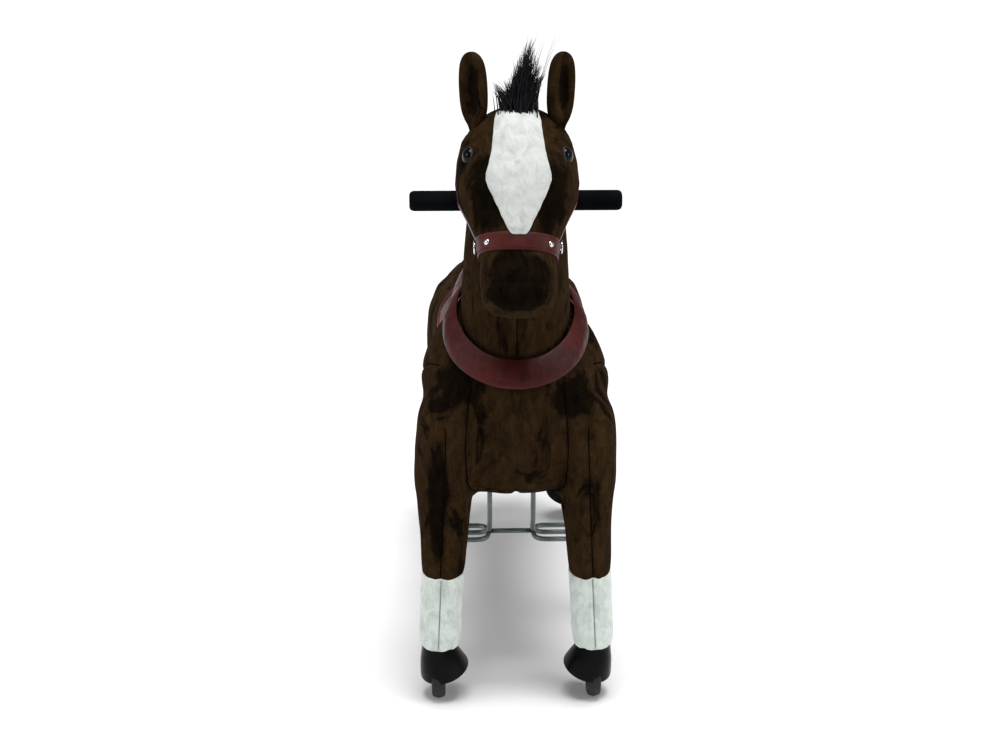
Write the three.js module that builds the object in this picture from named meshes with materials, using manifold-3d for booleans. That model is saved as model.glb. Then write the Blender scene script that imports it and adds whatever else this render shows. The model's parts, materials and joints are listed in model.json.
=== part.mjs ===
// A plush ride-on walking horse: a steel frame with steered, swinging legs on wheels, in a padded body.
// Millimetres, +Z up. The horse faces -Y and its left is +X. The origin is on the floor under its middle.
import * as THREE from "three";
import { mergeVertices } from "three/addons/utils/BufferGeometryUtils.js";
import Module from "manifold-3d";

const wasm = await Module();
wasm.setup();

// ---- Driving dimensions ----
const GAP = 0.4; // between pieces that touch on the real object
const PIVOT_Z = 400; // the two shafts the legs swing on
const FRONT_PIVOT_Y = -286;
const REAR_PIVOT_Y = 268;
const WHEEL_R = 32.5;
const WHEEL_WIDTH = 20;
const ANKLE_Z = 100; // where a leg's own line ends
const WHEEL_OUT = 3; // the wheel's centre lies this far outside its ankle
const WHEEL_BACK = 13; // and this far behind it
const STEER_Y = -252; // the steering column's upright axis
const BAR_Z = 736;
const BAR_HALF = 149;
const GRIP_R = 14.5;
const GRIP_LENGTH = 114;
const SHAFT_R = 8; // pivot shafts
const HUB_R = 17; // tube that turns on a pivot shaft
const HUB_HALF = 48;
const TUBE_R = 15; // leg tubes
const STEM_R = 6; // steering stems inside the front leg tubes
const CRANK = 35; // steering cranks, all of one length
const FOOT_Y = -85; // the footrest's upright rods
const FOOT_Z = 145;
const ROD_R = 4;
const ROD_X = 34.5;
const PEDAL_PITCH = 28;
const PEDAL_OUT = 140;
const LUG_REACH = 34; // from a yoke's beam towards the belly
const WALL = 20; // padding over the torso's hollow
const WELL_R = 80; // the round opening in the torso that the neck turns in
const INNER_X = 66; // inner face of a shoulder or hip
const OUTER_X = 139; // outer face of a shoulder or hip
const SHOULDER_R = 60;
const HIP_R = 76;
const HEM_Z = 200; // top of a white sock
const SOCK_LOW_Z = 95;
const SIDES = 18;

// Each pair of legs: its pivot, where its line crosses the pivot's height, its ankle, its plush disc, and the
// height of the lug its drive link pulls.
const LEGS = {
  front: { pivotY: FRONT_PIVOT_Y, topX: 98, ankle: { x: 112, y: -338 }, disc: SHOULDER_R, lugZ: 345 },
  rear: { pivotY: REAR_PIVOT_Y, topX: 88, ankle: { x: 118, y: 330 }, disc: HIP_R, lugZ: 360 },
};

const COLOURS = {
  plush: 0x3c2612,
  white: 0xe8e8e2,
  leather: 0x6e2a28,
  black: 0x141416,
  foam: 0x1a1a1c,
  hair: 0x0e0e12,
  steel: 0x6b7478,
  rubber: 0x202022,
};

function material(name, metalness = 0, roughness = 0.8) {
  return new THREE.MeshStandardMaterial({ color: COLOURS[name], metalness, roughness });
}

const MATERIALS = {
  plush: material("plush", 0, 0.95),
  white: material("white", 0, 0.95),
  leather: material("leather", 0, 0.45),
  black: material("black", 0, 0.35),
  foam: material("foam", 0, 0.9),
  hair: material("hair", 0, 0.6),
  steel: material("steel", 0.9, 0.4),
  rubber: material("rubber", 0, 0.8),
};

// ---- Solids: closed geometry in, joined or cut, geometry out ----
function solid(geometry) {
  const bare = geometry.clone();
  bare.deleteAttribute("normal");
  bare.deleteAttribute("uv");
  const merged = mergeVertices(bare, 1e-4);
  const mesh = new wasm.Mesh({
    numProp: 3,
    vertProperties: merged.attributes.position.array,
    triVerts: new Uint32Array(merged.index.array),
  });
  return new wasm.Manifold(mesh);
}

function join(...solids) {
  return solids.reduce((all, one) => all.add(one));
}

function cut(body, ...tools) {
  return tools.reduce((left, tool) => left.subtract(tool), body);
}

function geometryOf(body) {
  const made = body.getMesh();
  const geometry = new THREE.BufferGeometry();
  geometry.setAttribute("position", new THREE.BufferAttribute(made.vertProperties, 3));
  geometry.setIndex(new THREE.BufferAttribute(made.triVerts, 1));
  geometry.computeVertexNormals();
  return geometry;
}

// A closed skin over rings of equal count, the two end rings closed by flat fans.
function loft(rings) {
  const count = rings[0].length;
  const points = rings.flat();
  const middle = (ring) => ring.reduce((sum, p) => sum.add(p), new THREE.Vector3()).divideScalar(count);
  points.push(middle(rings[0]), middle(rings.at(-1)));
  const index = [];
  for (let r = 0; r + 1 < rings.length; r++) {
    for (let i = 0; i < count; i++) {
      const a = r * count + i;
      const b = r * count + ((i + 1) % count);
      index.push(a, b, b + count, a, b + count, a + count);
    }
  }
  const last = (rings.length - 1) * count;
  for (let i = 0; i < count; i++) {
    index.push(points.length - 2, (i + 1) % count, i);
    index.push(points.length - 1, last + i, last + ((i + 1) % count));
  }
  const geometry = new THREE.BufferGeometry().setFromPoints(points);
  geometry.setIndex(index);
  const made = solid(geometry);
  if (made.volume() > 0) return made;
  geometry.setIndex(index.toReversed());
  return solid(geometry);
}

// A ring of points round a centre in the plane of two half-axis vectors, squarer as power rises.
function ring(centre, u, v, power = 2, sides = SIDES) {
  const soft = (t) => Math.sign(t) * Math.abs(t) ** (2 / power);
  return Array.from({ length: sides }, (_, i) => {
    const angle = (2 * Math.PI * i) / sides;
    return centre
      .clone()
      .addScaledVector(u, soft(Math.cos(angle)))
      .addScaledVector(v, soft(Math.sin(angle)));
  });
}

const at = (x, y, z) => new THREE.Vector3(x, y, z);

// A round rod between two points, tapered when the second radius is given.
function rod(from, to, radius, endRadius = radius, sides = 14) {
  const along = to.clone().sub(from);
  const geometry = new THREE.CylinderGeometry(endRadius, radius, along.length(), sides);
  geometry.applyQuaternion(new THREE.Quaternion().setFromUnitVectors(at(0, 1, 0), along.clone().normalize()));
  geometry.translate(...from.clone().addScaledVector(along, 0.5));
  return solid(geometry);
}

function block(low, high) {
  const size = high.clone().sub(low);
  const geometry = new THREE.BoxGeometry(size.x, size.y, size.z);
  geometry.translate(...low.clone().addScaledVector(size, 0.5));
  return solid(geometry);
}

// A solid of revolution about +Z from [radius, z] pairs that start and end on the axis.
function turned(profile, sides = 32) {
  const geometry = new THREE.LatheGeometry(profile.map(([r, z]) => new THREE.Vector2(r, z)), sides);
  geometry.rotateX(Math.PI / 2);
  return solid(geometry);
}

// ---- Body shape ----
// The torso's cross-sections from chest to rump: y, half width, low z, high z.
const TORSO = [
  [-338, 42, 372, 448],
  [-332, 78, 344, 472],
  [-316, 112, 318, 492],
  [-288, 133, 304, 508],
  [-240, 140, 300, 522],
  [-150, 136, 298, 532],
  [-60, 127, 298, 530],
  [50, 125, 300, 530],
  [150, 134, 302, 538],
  [225, 140, 304, 542],
  [290, 134, 314, 536],
  [330, 116, 336, 516],
  [352, 84, 366, 488],
  [360, 46, 398, 456],
];

function torsoSkin(shrink) {
  const rings = TORSO.map(([y, half, low, high], i) => {
    const end = i === 0 || i === TORSO.length - 1;
    const pull = y < 0 ? shrink : -shrink;
    const lift = Math.min(shrink, (high - low) / 2 - 8);
    const centre = at(0, end || Math.abs(y) > 290 ? y + pull : y, (low + high) / 2);
    const halfZ = (high - low) / 2 - lift;
    return ring(centre, at(Math.max(half - shrink, 14), 0, 0), at(0, 0, halfZ), 2.4);
  });
  return loft(rings);
}

// The collar's line round the neck: low at the chest, high at the withers.
function collarHeight(angle) {
  return 560 - 52 * Math.cos(angle);
}

function roundNeck(radius, offset = 0) {
  return Array.from({ length: SIDES }, (_, i) => {
    const angle = (2 * Math.PI * i) / SIDES; // 0 points at the chest
    return at(radius * Math.sin(angle), STEER_Y - radius * Math.cos(angle), collarHeight(angle) + offset);
  });
}

// One ring of the shoulders round the neck's root, that drops below the collar's line.
function shoulderRing(wide, deep, back, drop) {
  return Array.from({ length: SIDES }, (_, i) => {
    const angle = (2 * Math.PI * i) / SIDES;
    const y = STEER_Y + back - deep * Math.cos(angle);
    return at(wide * Math.sin(angle), y, collarHeight(angle) - drop);
  });
}

// The padded root of the neck, which rises from the shoulders to the collar.
function neckRoot(grow = 0) {
  const shoulders = [
    [122, 84, 16, 118],
    [130, 94, 14, 92],
    [127, 100, 8, 64],
    [115, 100, 4, 40],
  ].map(([wide, deep, back, drop]) => shoulderRing(wide + grow, deep + grow, back, drop - grow));
  return loft([...shoulders, roundNeck(97 + grow, grow - 20), roundNeck(91 + grow, 4 + grow)]);
}

// One shoulder or hip: a thick disc round a pivot, on the horse's left.
function jointDisc(y, radius, inner, outer) {
  return rod(at(inner, y, PIVOT_Z), at(outer, y, PIVOT_Z), radius, radius, 24);
}

// The room a leg needs where it swings, on the horse's left: the disc's room and a slot below it.
function legRoom(leg) {
  const outward = Math.sign(leg.pivotY);
  const reach = [leg.pivotY - 74 * outward, leg.pivotY + 86 * outward];
  const inner = leg.ankle.x - 38;
  const disc = jointDisc(leg.pivotY, leg.disc + 4, INNER_X - 4, OUTER_X + 20);
  const low = at(Math.min(inner, INNER_X - 8), Math.min(...reach), 260);
  const slot = block(low, at(OUTER_X + 20, Math.max(...reach), 352));
  return join(disc, slot);
}

// The room inside the torso for a yoke, which swings towards the belly.
function yokeRoom(leg) {
  const outward = Math.sign(leg.pivotY);
  const reach = [leg.pivotY - 52 * outward, leg.pivotY + 28 * outward];
  return block(at(-INNER_X, Math.min(...reach), 322), at(INNER_X, Math.max(...reach), 424));
}

function torso() {
  let body = join(torsoSkin(0), neckRoot());
  const hollow = torsoSkin(WALL);
  const well = rod(at(0, STEER_Y, 474), at(0, STEER_Y, 700), WELL_R, WELL_R, 24);
  const throat = rod(at(0, STEER_Y, 440), at(0, STEER_Y, 480), 40);
  body = cut(body, hollow, well, throat);
  for (const leg of Object.values(LEGS)) {
    const room = legRoom(leg);
    body = cut(body, room, room.mirror([1, 0, 0]), yokeRoom(leg));
  }
  const rodSlot = block(at(-ROD_X - 9, FOOT_Y - 9, 250), at(ROD_X + 9, FOOT_Y + 9, 340));
  const linkSlot = block(at(-18, FOOT_Y - 122, 250), at(18, FOOT_Y + 225, 340));
  return cut(body, rodSlot, linkSlot);
}

// ---- Steering column, bars, neck and head ----
const NECK = [
  [480, -252, 70, 70],
  [500, -252, 74, 74],
  [548, -252, 76, 76],
  [600, -256, 77, 76],
  [660, -262, 73, 73],
  [720, -268, 68, 69],
  [780, -274, 66, 63],
  [828, -276, 62, 54],
  [852, -276, 46, 40],
  [862, -276, 18, 16],
];
const HEAD_BACK = at(0, -280.4, 834);
const HEAD_AXIS = at(0, -150, -260).normalize();
const HEAD_UP = at(0, -260, 150).normalize(); // square to the axis, out of the forehead
// Along the face: distance, half width, half depth, and how far the middle is pushed out of the axis.
const HEAD = [
  [-32, 22, 20, 0],
  [-22, 47, 38, 0],
  [0, 69, 54, 0],
  [35, 79, 61, 0],
  [75, 82, 62, 0],
  [105, 78, 58, 0],
  [135, 68, 53, -1],
  [160, 58, 49, -2],
  [185, 54, 48, -2],
  [235, 53, 46, -3],
  [252, 46, 40, -4],
  [262, 27, 24, -5],
];

function headSkin(grow) {
  return loft(
    HEAD.map(([along, half, deep, push]) => {
      const centre = HEAD_BACK.clone().addScaledVector(HEAD_AXIS, along).addScaledVector(HEAD_UP, push);
      const wide = at(half + grow, 0, 0);
      return ring(centre, wide, HEAD_UP.clone().multiplyScalar(deep + grow), 2.3);
    }),
  );
}

function neckSkin() {
  return loft(NECK.map(([z, y, rx, ry]) => ring(at(0, y, z), at(rx, 0, 0), at(0, ry, 0), 2.1)));
}

function neckAndHead() {
  const whole = join(neckSkin(), headSkin(0));
  const column = rod(at(0, STEER_Y, 400), at(0, STEER_Y, BAR_Z + 14), 10 + GAP);
  const bar = rod(at(-200, STEER_Y, BAR_Z), at(200, STEER_Y, BAR_Z), 11 + GAP);
  const grips = rod(at(-200, STEER_Y, BAR_Z), at(-BAR_HALF + GRIP_LENGTH + 2, STEER_Y, BAR_Z), GRIP_R + 1.5);
  return cut(whole, column, bar, grips, grips.mirror([1, 0, 0]));
}

function column() {
  const post = rod(at(0, STEER_Y, 373), at(0, STEER_Y, BAR_Z - 11 - GAP), 9);
  const boss = rod(at(0, STEER_Y, 373), at(0, STEER_Y, 381), 12);
  const arm = block(at(-17, STEER_Y, 374), at(17, STEER_Y + CRANK + 8, 380));
  return join(post, boss, arm);
}

function handlebar() {
  return rod(at(-BAR_HALF + 6, STEER_Y, BAR_Z), at(BAR_HALF - 6, STEER_Y, BAR_Z), 10.5);
}

// A foam sleeve closed by a rounded end, on the horse's left.
function grip() {
  const inner = BAR_HALF - GRIP_LENGTH;
  const sleeve = turned(
    [
      [0, inner],
      [GRIP_R - 1, inner],
      [GRIP_R, inner + 2],
      [GRIP_R, BAR_HALF - 5],
      [GRIP_R - 2, BAR_HALF - 1.4],
      [GRIP_R - 5, BAR_HALF],
      [0, BAR_HALF],
    ],
    18,
  )
    .rotate([0, 90, 0])
    .translate([0, STEER_Y, BAR_Z]);
  return cut(sleeve, rod(at(0, STEER_Y, BAR_Z), at(BAR_HALF - 6 + GAP, STEER_Y, BAR_Z), 10.5 + GAP));
}

const EAR_ROOT = at(53, -297, 843);
const EAR_TIP = at(60, -300, 949);

function ear() {
  const along = EAR_TIP.clone().sub(EAR_ROOT);
  const shape = [
    [0.06, 13, 8],
    [0.25, 19, 10],
    [0.5, 21, 10],
    [0.75, 17, 8.5],
    [0.92, 10, 6],
    [1, 4, 3],
  ];
  const body = loft(
    shape.map(([t, wide, deep]) => {
      const centre = EAR_ROOT.clone().addScaledVector(along, t);
      return ring(centre, at(wide, 0, 0), at(0, deep, 0), 2, 14);
    }),
  );
  return cut(body, neckSkin(), headSkin(GAP));
}

function eye() {
  const centre = HEAD_BACK.clone().addScaledVector(HEAD_AXIS, 48).addScaledVector(HEAD_UP, 37);
  const ball = new THREE.SphereGeometry(11, 14, 9);
  ball.translate(centre.x + 62, centre.y, centre.z);
  return cut(solid(ball), headSkin(GAP));
}

// The head's skin between two offsets, which a panel or strap is cut from.
function headShell(inner, outer) {
  return cut(headSkin(outer), headSkin(inner), neckSkin());
}

// A slab square to the face's axis between two distances along it, leaned by a slope towards its back.
function faceSlab(from, to, lowUp, highUp, half) {
  const corner = (along, up) =>
    HEAD_BACK.clone().addScaledVector(HEAD_AXIS, along).addScaledVector(HEAD_UP, up);
  const loop = (x) => [
    corner(from[0], lowUp),
    corner(to[0], lowUp),
    corner(to[1], highUp),
    corner(from[1], highUp),
  ].map((p) => p.setX(x));
  return loft([loop(-half), loop(half)]);
}

function noseband() {
  return headShell(GAP, 3.6).intersect(faceSlab([159, 159], [187, 187], -120, 120, 130));
}

function blaze() {
  const outline = [
    [-14, 27],
    [15, 31],
    [45, 34],
    [84, 43],
    [100, 41],
    [157, 12],
  ];
  const rings = outline.map(([along, half]) => {
    const centre = HEAD_BACK.clone().addScaledVector(HEAD_AXIS, along).addScaledVector(HEAD_UP, 62);
    return [
      centre.clone().add(at(-half, 0, 0)).addScaledVector(HEAD_UP, -52),
      centre.clone().add(at(half, 0, 0)).addScaledVector(HEAD_UP, -52),
      centre.clone().add(at(half, 0, 0)).addScaledVector(HEAD_UP, 30),
      centre.clone().add(at(-half, 0, 0)).addScaledVector(HEAD_UP, 30),
    ];
  });
  return headShell(GAP, 3.4).intersect(loft(rings));
}

// A bridle strap from behind the ear to the nose band, on the horse's left.
function cheekStrap() {
  const lane = faceSlab([10, 10], [158, 158], -8, 8, 130);
  const outside = block(at(30, -600, 500), at(200, 0, 1000));
  return headShell(GAP, 3.4).intersect(lane).intersect(outside);
}

// The upright crest of hair down the back of the neck.
function mane() {
  const crest = [
    [862, -250, 28],
    [836, -232, 34],
    [785, -212, 34],
    [715, -196, 32],
    [660, -186, 28],
    [636, -180, 16],
  ];
  const rings = crest.map(([z, y, tall]) => {
    const centre = at(0, y + tall / 2, z);
    return ring(centre, at(7, 0, 0), at(0, tall / 2 + 10, 0), 2, 14);
  });
  return cut(loft(rings), grownNeck(), headSkin(GAP));
}

function grownNeck() {
  return loft(NECK.map(([z, y, rx, ry]) => ring(at(0, y, z), at(rx + GAP, 0, 0), at(0, ry + GAP, 0), 2.1)));
}

// The tuft between the ears.
function forelock() {
  const rings = [
    [860, -312, 18, 14],
    [886, -309, 24, 20],
    [910, -302, 20, 17],
    [933, -295, 11, 9],
    [947, -290, 4, 3],
  ].map(([z, y, rx, ry]) => ring(at(0, y, z), at(rx, 0, 0), at(0, ry, 0), 2, 16));
  return cut(loft(rings), grownNeck(), headSkin(3.4 + GAP));
}

// ---- Frame ----
function spine() {
  const headTube = rod(at(0, STEER_Y, 396), at(0, STEER_Y, 466), 16);
  const beam = block(at(-15, STEER_Y + 6, 428), at(15, REAR_PIVOT_Y + 20, 462));
  const parts = [headTube, beam];
  for (const pivotY of [FRONT_PIVOT_Y, REAR_PIVOT_Y]) {
    parts.push(block(at(-60, pivotY - 18, 424), at(60, pivotY + 24, 432)));
    for (const side of [1, -1]) {
      const x = side * 56;
      const ear = block(at(x - 4, pivotY - 16, 384), at(x + 4, pivotY + 16, 430));
      parts.push(ear);
    }
  }
  const bore = rod(at(0, STEER_Y, 380), at(0, STEER_Y, 480), 9.8);
  const cuts = [bore];
  for (const pivotY of [FRONT_PIVOT_Y, REAR_PIVOT_Y]) {
    cuts.push(rod(at(-80, pivotY, PIVOT_Z), at(80, pivotY, PIVOT_Z), SHAFT_R + GAP));
  }
  return cut(join(...parts), ...cuts);
}

function pivotShaft(y) {
  const pin = rod(at(-63, y, PIVOT_Z), at(63, y, PIVOT_Z), SHAFT_R);
  const head = rod(at(60.6, y, PIVOT_Z), at(64.5, y, PIVOT_Z), 11, 11, 6);
  return join(pin, head, head.mirror([1, 0, 0]));
}

// Two guide tubes for the footrest's rods, on a plate bolted under the spine's beam.
function footrestGuide() {
  const plate = block(at(-44, FOOT_Y - 12, 420), at(44, FOOT_Y + 12, 428 - GAP));
  const parts = [plate];
  const bores = [];
  for (const side of [1, -1]) {
    const x = side * ROD_X;
    parts.push(rod(at(x, FOOT_Y, 352), at(x, FOOT_Y, 424), 8));
    bores.push(rod(at(x, FOOT_Y, 300), at(x, FOOT_Y, 440), ROD_R + 0.5));
  }
  return cut(join(...parts), ...bores);
}

// Where a leg's own line is at a height, on the horse's left.
function onLeg(leg, z) {
  const t = (PIVOT_Z - z) / (PIVOT_Z - ANKLE_Z);
  return at(leg.topX + (leg.ankle.x - leg.topX) * t, leg.pivotY + (leg.ankle.y - leg.pivotY) * t, z);
}

const wheelCentre = (leg) => at(leg.ankle.x + WHEEL_OUT, leg.ankle.y + WHEEL_BACK, WHEEL_R);

// The swinging yoke of one pair of legs: hub on the shaft, web, cross beam and a lug for the drive link.
function yoke(leg) {
  const inward = Math.sign(-leg.pivotY);
  const hub = rod(at(-HUB_HALF, leg.pivotY, PIVOT_Z), at(HUB_HALF, leg.pivotY, PIVOT_Z), HUB_R);
  const beamY = onLeg(leg, 345).y;
  const end = onLeg(leg, 345).x + 15;
  const beam = block(at(-end, beamY - 12, 334), at(end, beamY + 12, 356));
  const web = block(at(-40, beamY - 5, 350), at(40, beamY + 5, 392));
  const lugEnds = [beamY, beamY + inward * LUG_REACH];
  const lug = block(at(-4, Math.min(...lugEnds), leg.lugZ - 7), at(4, Math.max(...lugEnds), leg.lugZ + 7));
  const bore = rod(at(-90, leg.pivotY, PIVOT_Z), at(90, leg.pivotY, PIVOT_Z), SHAFT_R + GAP);
  const cuts = [bore];
  if (leg === LEGS.front) {
    for (const side of [1, -1]) {
      const low = onLeg(leg, 300);
      const high = onLeg(leg, 392);
      cuts.push(rod(at(side * low.x, low.y, low.z), at(side * high.x, high.y, high.z), STEM_R + 1));
    }
  }
  return cut(join(hub, beam, web, lug), ...cuts);
}

function legTube(leg) {
  const top = onLeg(leg, 333);
  const bottom = onLeg(leg, 118);
  const tube = rod(top, bottom, TUBE_R);
  const bore = rod(onLeg(leg, 345), onLeg(leg, 100), STEM_R + 1);
  const flat = block(at(0, leg.pivotY - 120, 333 - GAP - 0.6), at(200, leg.pivotY + 120, 345));
  return cut(tube, bore, flat);
}

// Padded leg sections below the joint: z, shift along y, half width, half depth.
const FRONT_PLUSH = [
  [352, 0, 35, 50],
  [310, 0, 34.5, 46],
  [260, 0, 33.5, 41],
  [HEM_Z, 0, 31.5, 36],
];
const REAR_PLUSH = [
  [352, 4, 35, 60],
  [310, 6, 34, 54],
  [262, 8, 32, 43],
  [232, 6, 31, 38],
  [HEM_Z, 2, 30, 35],
];
const SOCK = [
  [HEM_Z - GAP, 0, 31, 35],
  [150, 0, 30, 32],
  [112, 0, 30, 31],
  [SOCK_LOW_Z, 0, 29, 29.5],
];

function legLoft(leg, sections) {
  return loft(
    sections.map(([z, shift, wide, deep]) => {
      const centre = onLeg(leg, z).add(at(0, shift, 0));
      return ring(centre, at(wide, 0, 0), at(0, deep, 0), 2.2, 16);
    }),
  );
}

function legBore(leg) {
  return rod(onLeg(leg, 420), onLeg(leg, 60), TUBE_R + GAP + 0.3);
}

function legPlush(leg) {
  const sections = leg === LEGS.front ? FRONT_PLUSH : REAR_PLUSH;
  const disc = jointDisc(leg.pivotY, leg.disc, INNER_X + 1, OUTER_X);
  const body = join(disc, legLoft(leg, sections));
  const top = onLeg(leg, 345);
  const reach = leg.disc - 20;
  const room = block(
    at(0, leg.pivotY - reach, 324),
    at(top.x + 22, leg.pivotY + (leg === LEGS.front ? leg.disc - 6 : reach), 430),
  );
  return cut(body, room, legBore(leg));
}

function sock(leg) {
  const pocket = rod(onLeg(leg, 122), onLeg(leg, 60), 28.2);
  return cut(legLoft(leg, SOCK), legBore(leg), pocket);
}

// ---- Feet: fork, hoof and wheel ----
const HOOF_OUT = -6; // the rim's centre from the ankle
const HOOF_BACK = 16;
const HOOF_Z = 44;
const HOOF_TILT_BACK = 14; // degrees: the toe is lower than the heel
const HOOF_TILT_IN = 10; // degrees: the inner rim is higher
const PRONG_INNER = 11.8; // a prong's inner face from the wheel's middle
const PRONG = 3;

function fork(leg, steered) {
  const wheel = wheelCentre(leg);
  const crownY = leg.ankle.y + 2;
  const outer = PRONG_INNER + PRONG;
  const plate = (x, y, z, half) => [
    at(x, y - half, z),
    at(x + PRONG, y - half, z),
    at(x + PRONG, y + half, z),
    at(x, y + half, z),
  ];
  const parts = [
    rod(onLeg(leg, 74), onLeg(leg, steered ? 368 : 160), STEM_R, STEM_R, 10),
    block(at(wheel.x - outer, crownY - 7, 70), at(wheel.x + outer, crownY + 9, 75)),
    rod(wheel.clone().setX(wheel.x - outer), wheel.clone().setX(wheel.x + outer), 3.7, 3.7, 8),
  ];
  for (const side of [1, -1]) {
    const x = wheel.x + (side > 0 ? PRONG_INNER : -outer);
    const foot = plate(x, wheel.y, WHEEL_R - 8, 7);
    parts.push(loft([foot, plate(x, wheel.y, WHEEL_R, 9), plate(x, crownY + 1, 73, 8)]));
    const nut = wheel.clone().setX(wheel.x + side * (outer - 1));
    parts.push(rod(nut, nut.clone().setX(nut.x + side * 4.5), 6.5, 6.5, 6));
  }
  if (steered) parts.push(steeringCrank(leg));
  return join(...parts);
}

// The crank on top of a steering stem, square to the stem and pointing back.
function steeringCrank(leg) {
  const top = onLeg(leg, 368);
  const low = onLeg(leg, 362);
  const up = top.clone().sub(low).normalize();
  const back = at(0, 1, 0).addScaledVector(up, -up.y).normalize();
  const middle = low.clone().addScaledVector(up, 3);
  const end = (reach) => [
    [-7, -3],
    [7, -3],
    [7, 3],
    [-7, 3],
  ].map(([x, z]) => middle.clone().addScaledVector(back, reach).add(at(x, 0, 0)).addScaledVector(up, z));
  return join(loft([end(-8), end(CRANK + 6)]), rod(low, top, 10, 10, 12));
}

const HOOF_OUTSIDE = [
  [0, 0],
  [36.5, 0],
  [33, 16],
  [28, 34],
  [21.5, 50],
  [20, 62],
  [0, 62],
];
const HOOF_INSIDE = [
  [0, -30],
  [34, -30],
  [34, 2],
  [30, 16],
  [25.6, 34],
  [16, 48],
  [0, 48],
];

function hoof(leg) {
  const place = (profile) =>
    turned(profile, 18)
      .rotate([HOOF_TILT_BACK, HOOF_TILT_IN, 0])
      .translate([leg.ankle.x + HOOF_OUT, leg.ankle.y + HOOF_BACK, HOOF_Z]);
  const stem = rod(onLeg(leg, 130), onLeg(leg, 80), STEM_R + GAP, STEM_R + GAP, 10);
  const wheel = wheelCentre(leg);
  const half = PRONG_INNER + 3;
  const roomR = WHEEL_R + 1.5;
  const inner = wheel.clone().setX(wheel.x - half);
  const outer = wheel.clone().setX(wheel.x + half);
  const wheelRoom = rod(inner, outer, roomR, roomR, 20);
  return cut(place(HOOF_OUTSIDE), place(HOOF_INSIDE), stem, wheelRoom);
}

function placeWheel(profile, boreR, leg) {
  const bore = turned([[0, -20], [boreR, -20], [boreR, 20], [0, 20]], boreR > 10 ? 24 : 8);
  const wheel = wheelCentre(leg);
  return cut(turned(profile, 24), bore).rotate([0, 90, 0]).translate([wheel.x, wheel.y, wheel.z]);
}

function tyre(leg) {
  const half = WHEEL_WIDTH / 2;
  const profile = [
    [0, -half],
    [WHEEL_R - 4, -half],
    [WHEEL_R, -2],
    [WHEEL_R, 2],
    [WHEEL_R - 4, half],
    [0, half],
  ];
  return placeWheel(profile, 23, leg);
}

function wheelHub(leg) {
  const rim = 23 - GAP;
  const profile = [
    [0, -11],
    [9, -11],
    [9, -6],
    [rim, -6],
    [rim, 6],
    [9, 6],
    [9, 11],
    [0, 11],
  ];
  return placeWheel(profile, 4.2, leg);
}

// ---- Footrest and drive links ----
const PIN_Z = 330; // the cross pin that pulls the drive links

function footrest() {
  const front = FOOT_Y;
  const rear = FOOT_Y + 2 * PEDAL_PITCH;
  const parts = [];
  for (const side of [1, -1]) {
    const x = side * ROD_X;
      const inner = side * ROD_X;
    const outer = side * PEDAL_OUT;
    parts.push(rod(at(x, front, FOOT_Z), at(x, front, 420), ROD_R, ROD_R, 8));
    for (let i = 0; i < 3; i++) {
      const y = front + i * PEDAL_PITCH;
      parts.push(rod(at(i ? inner : 0, y, FOOT_Z), at(outer, y, FOOT_Z), ROD_R, ROD_R, 8));
    }
    for (const endX of [inner, outer]) {
      parts.push(rod(at(endX, front - 4, FOOT_Z), at(endX, rear + 4, FOOT_Z), ROD_R, ROD_R, 8));
    }
  }
  parts.push(rod(at(-ROD_X, front, PIN_Z), at(ROD_X, front, PIN_Z), 5, 5, 12));
  return join(...parts);
}

// A flat link from the footrest's pin towards a yoke's lug. Its far eye stays beside the lug.
function driveLink(leg, x) {
  const inward = Math.sign(-leg.pivotY);
  const lugY = onLeg(leg, 345).y + inward * (LUG_REACH - 8);
  const from = at(0, FOOT_Y, PIN_Z);
  const to = at(0, lugY, leg.lugZ);
  const along = to.clone().sub(from);
  const across = at(1, 0, 0).cross(along).normalize().multiplyScalar(7);
  const loop = (level) => [
    from.clone().add(across),
    to.clone().add(across),
    to.clone().sub(across),
    from.clone().sub(across),
  ].map((p) => p.setX(level));
  const eye = (p) => rod(p.clone().setX(x), p.clone().setX(x + 5), 9);
  const body = join(loft([loop(x), loop(x + 5)]), eye(from), eye(to));
  const bore = (p, r) => rod(p.clone().setX(x - 5), p.clone().setX(x + 10), r);
  return cut(body, bore(from, 5 + GAP), bore(to, 4));
}

// A steering rod from the column's crank to a stem's crank, on the horse's left.
function tieRod() {
  const from = at(9, STEER_Y + CRANK, 386);
  const stem = onLeg(LEGS.front, 365);
  const to = at(stem.x, stem.y + CRANK, 386);
  const bar = rod(from, to, 3, 3, 12);
  const eyes = [from, to].map((p) => rod(p.clone().setZ(383), p.clone().setZ(389), 6.5, 6.5, 16));
  return join(bar, ...eyes);
}

// ---- Soft trim on the body ----
function torsoShell(inner, outer) {
  return cut(torsoSkin(-outer), torsoSkin(-inner));
}

// The leather scarf round the root of the neck.
function collar() {
  const outside = [
    [103, -20],
    [102, -6],
    [96, 10],
    [90, 17],
  ];
  const inside = [
    [99, -46],
    [97.6, -20],
    [91.6, 4],
    [90, 8],
    [84, 22],
  ];
  const outer = loft(outside.map((row) => roundNeck(...row)));
  const inner = loft(inside.map((row) => roundNeck(...row)));
  const well = rod(at(0, STEER_Y, 440), at(0, STEER_Y, 700), WELL_R + 3, WELL_R + 3, 24);
  return cut(outer, inner, well, torsoSkin(-GAP), neckRoot(GAP + 0.2));
}

const SADDLE_FRONT = -128;
const SADDLE_BACK = 150;

function saddleSkirt() {
  const span = block(at(-200, SADDLE_FRONT, 395), at(200, SADDLE_BACK, 700));
  return torsoShell(GAP, 5).intersect(span);
}

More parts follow.
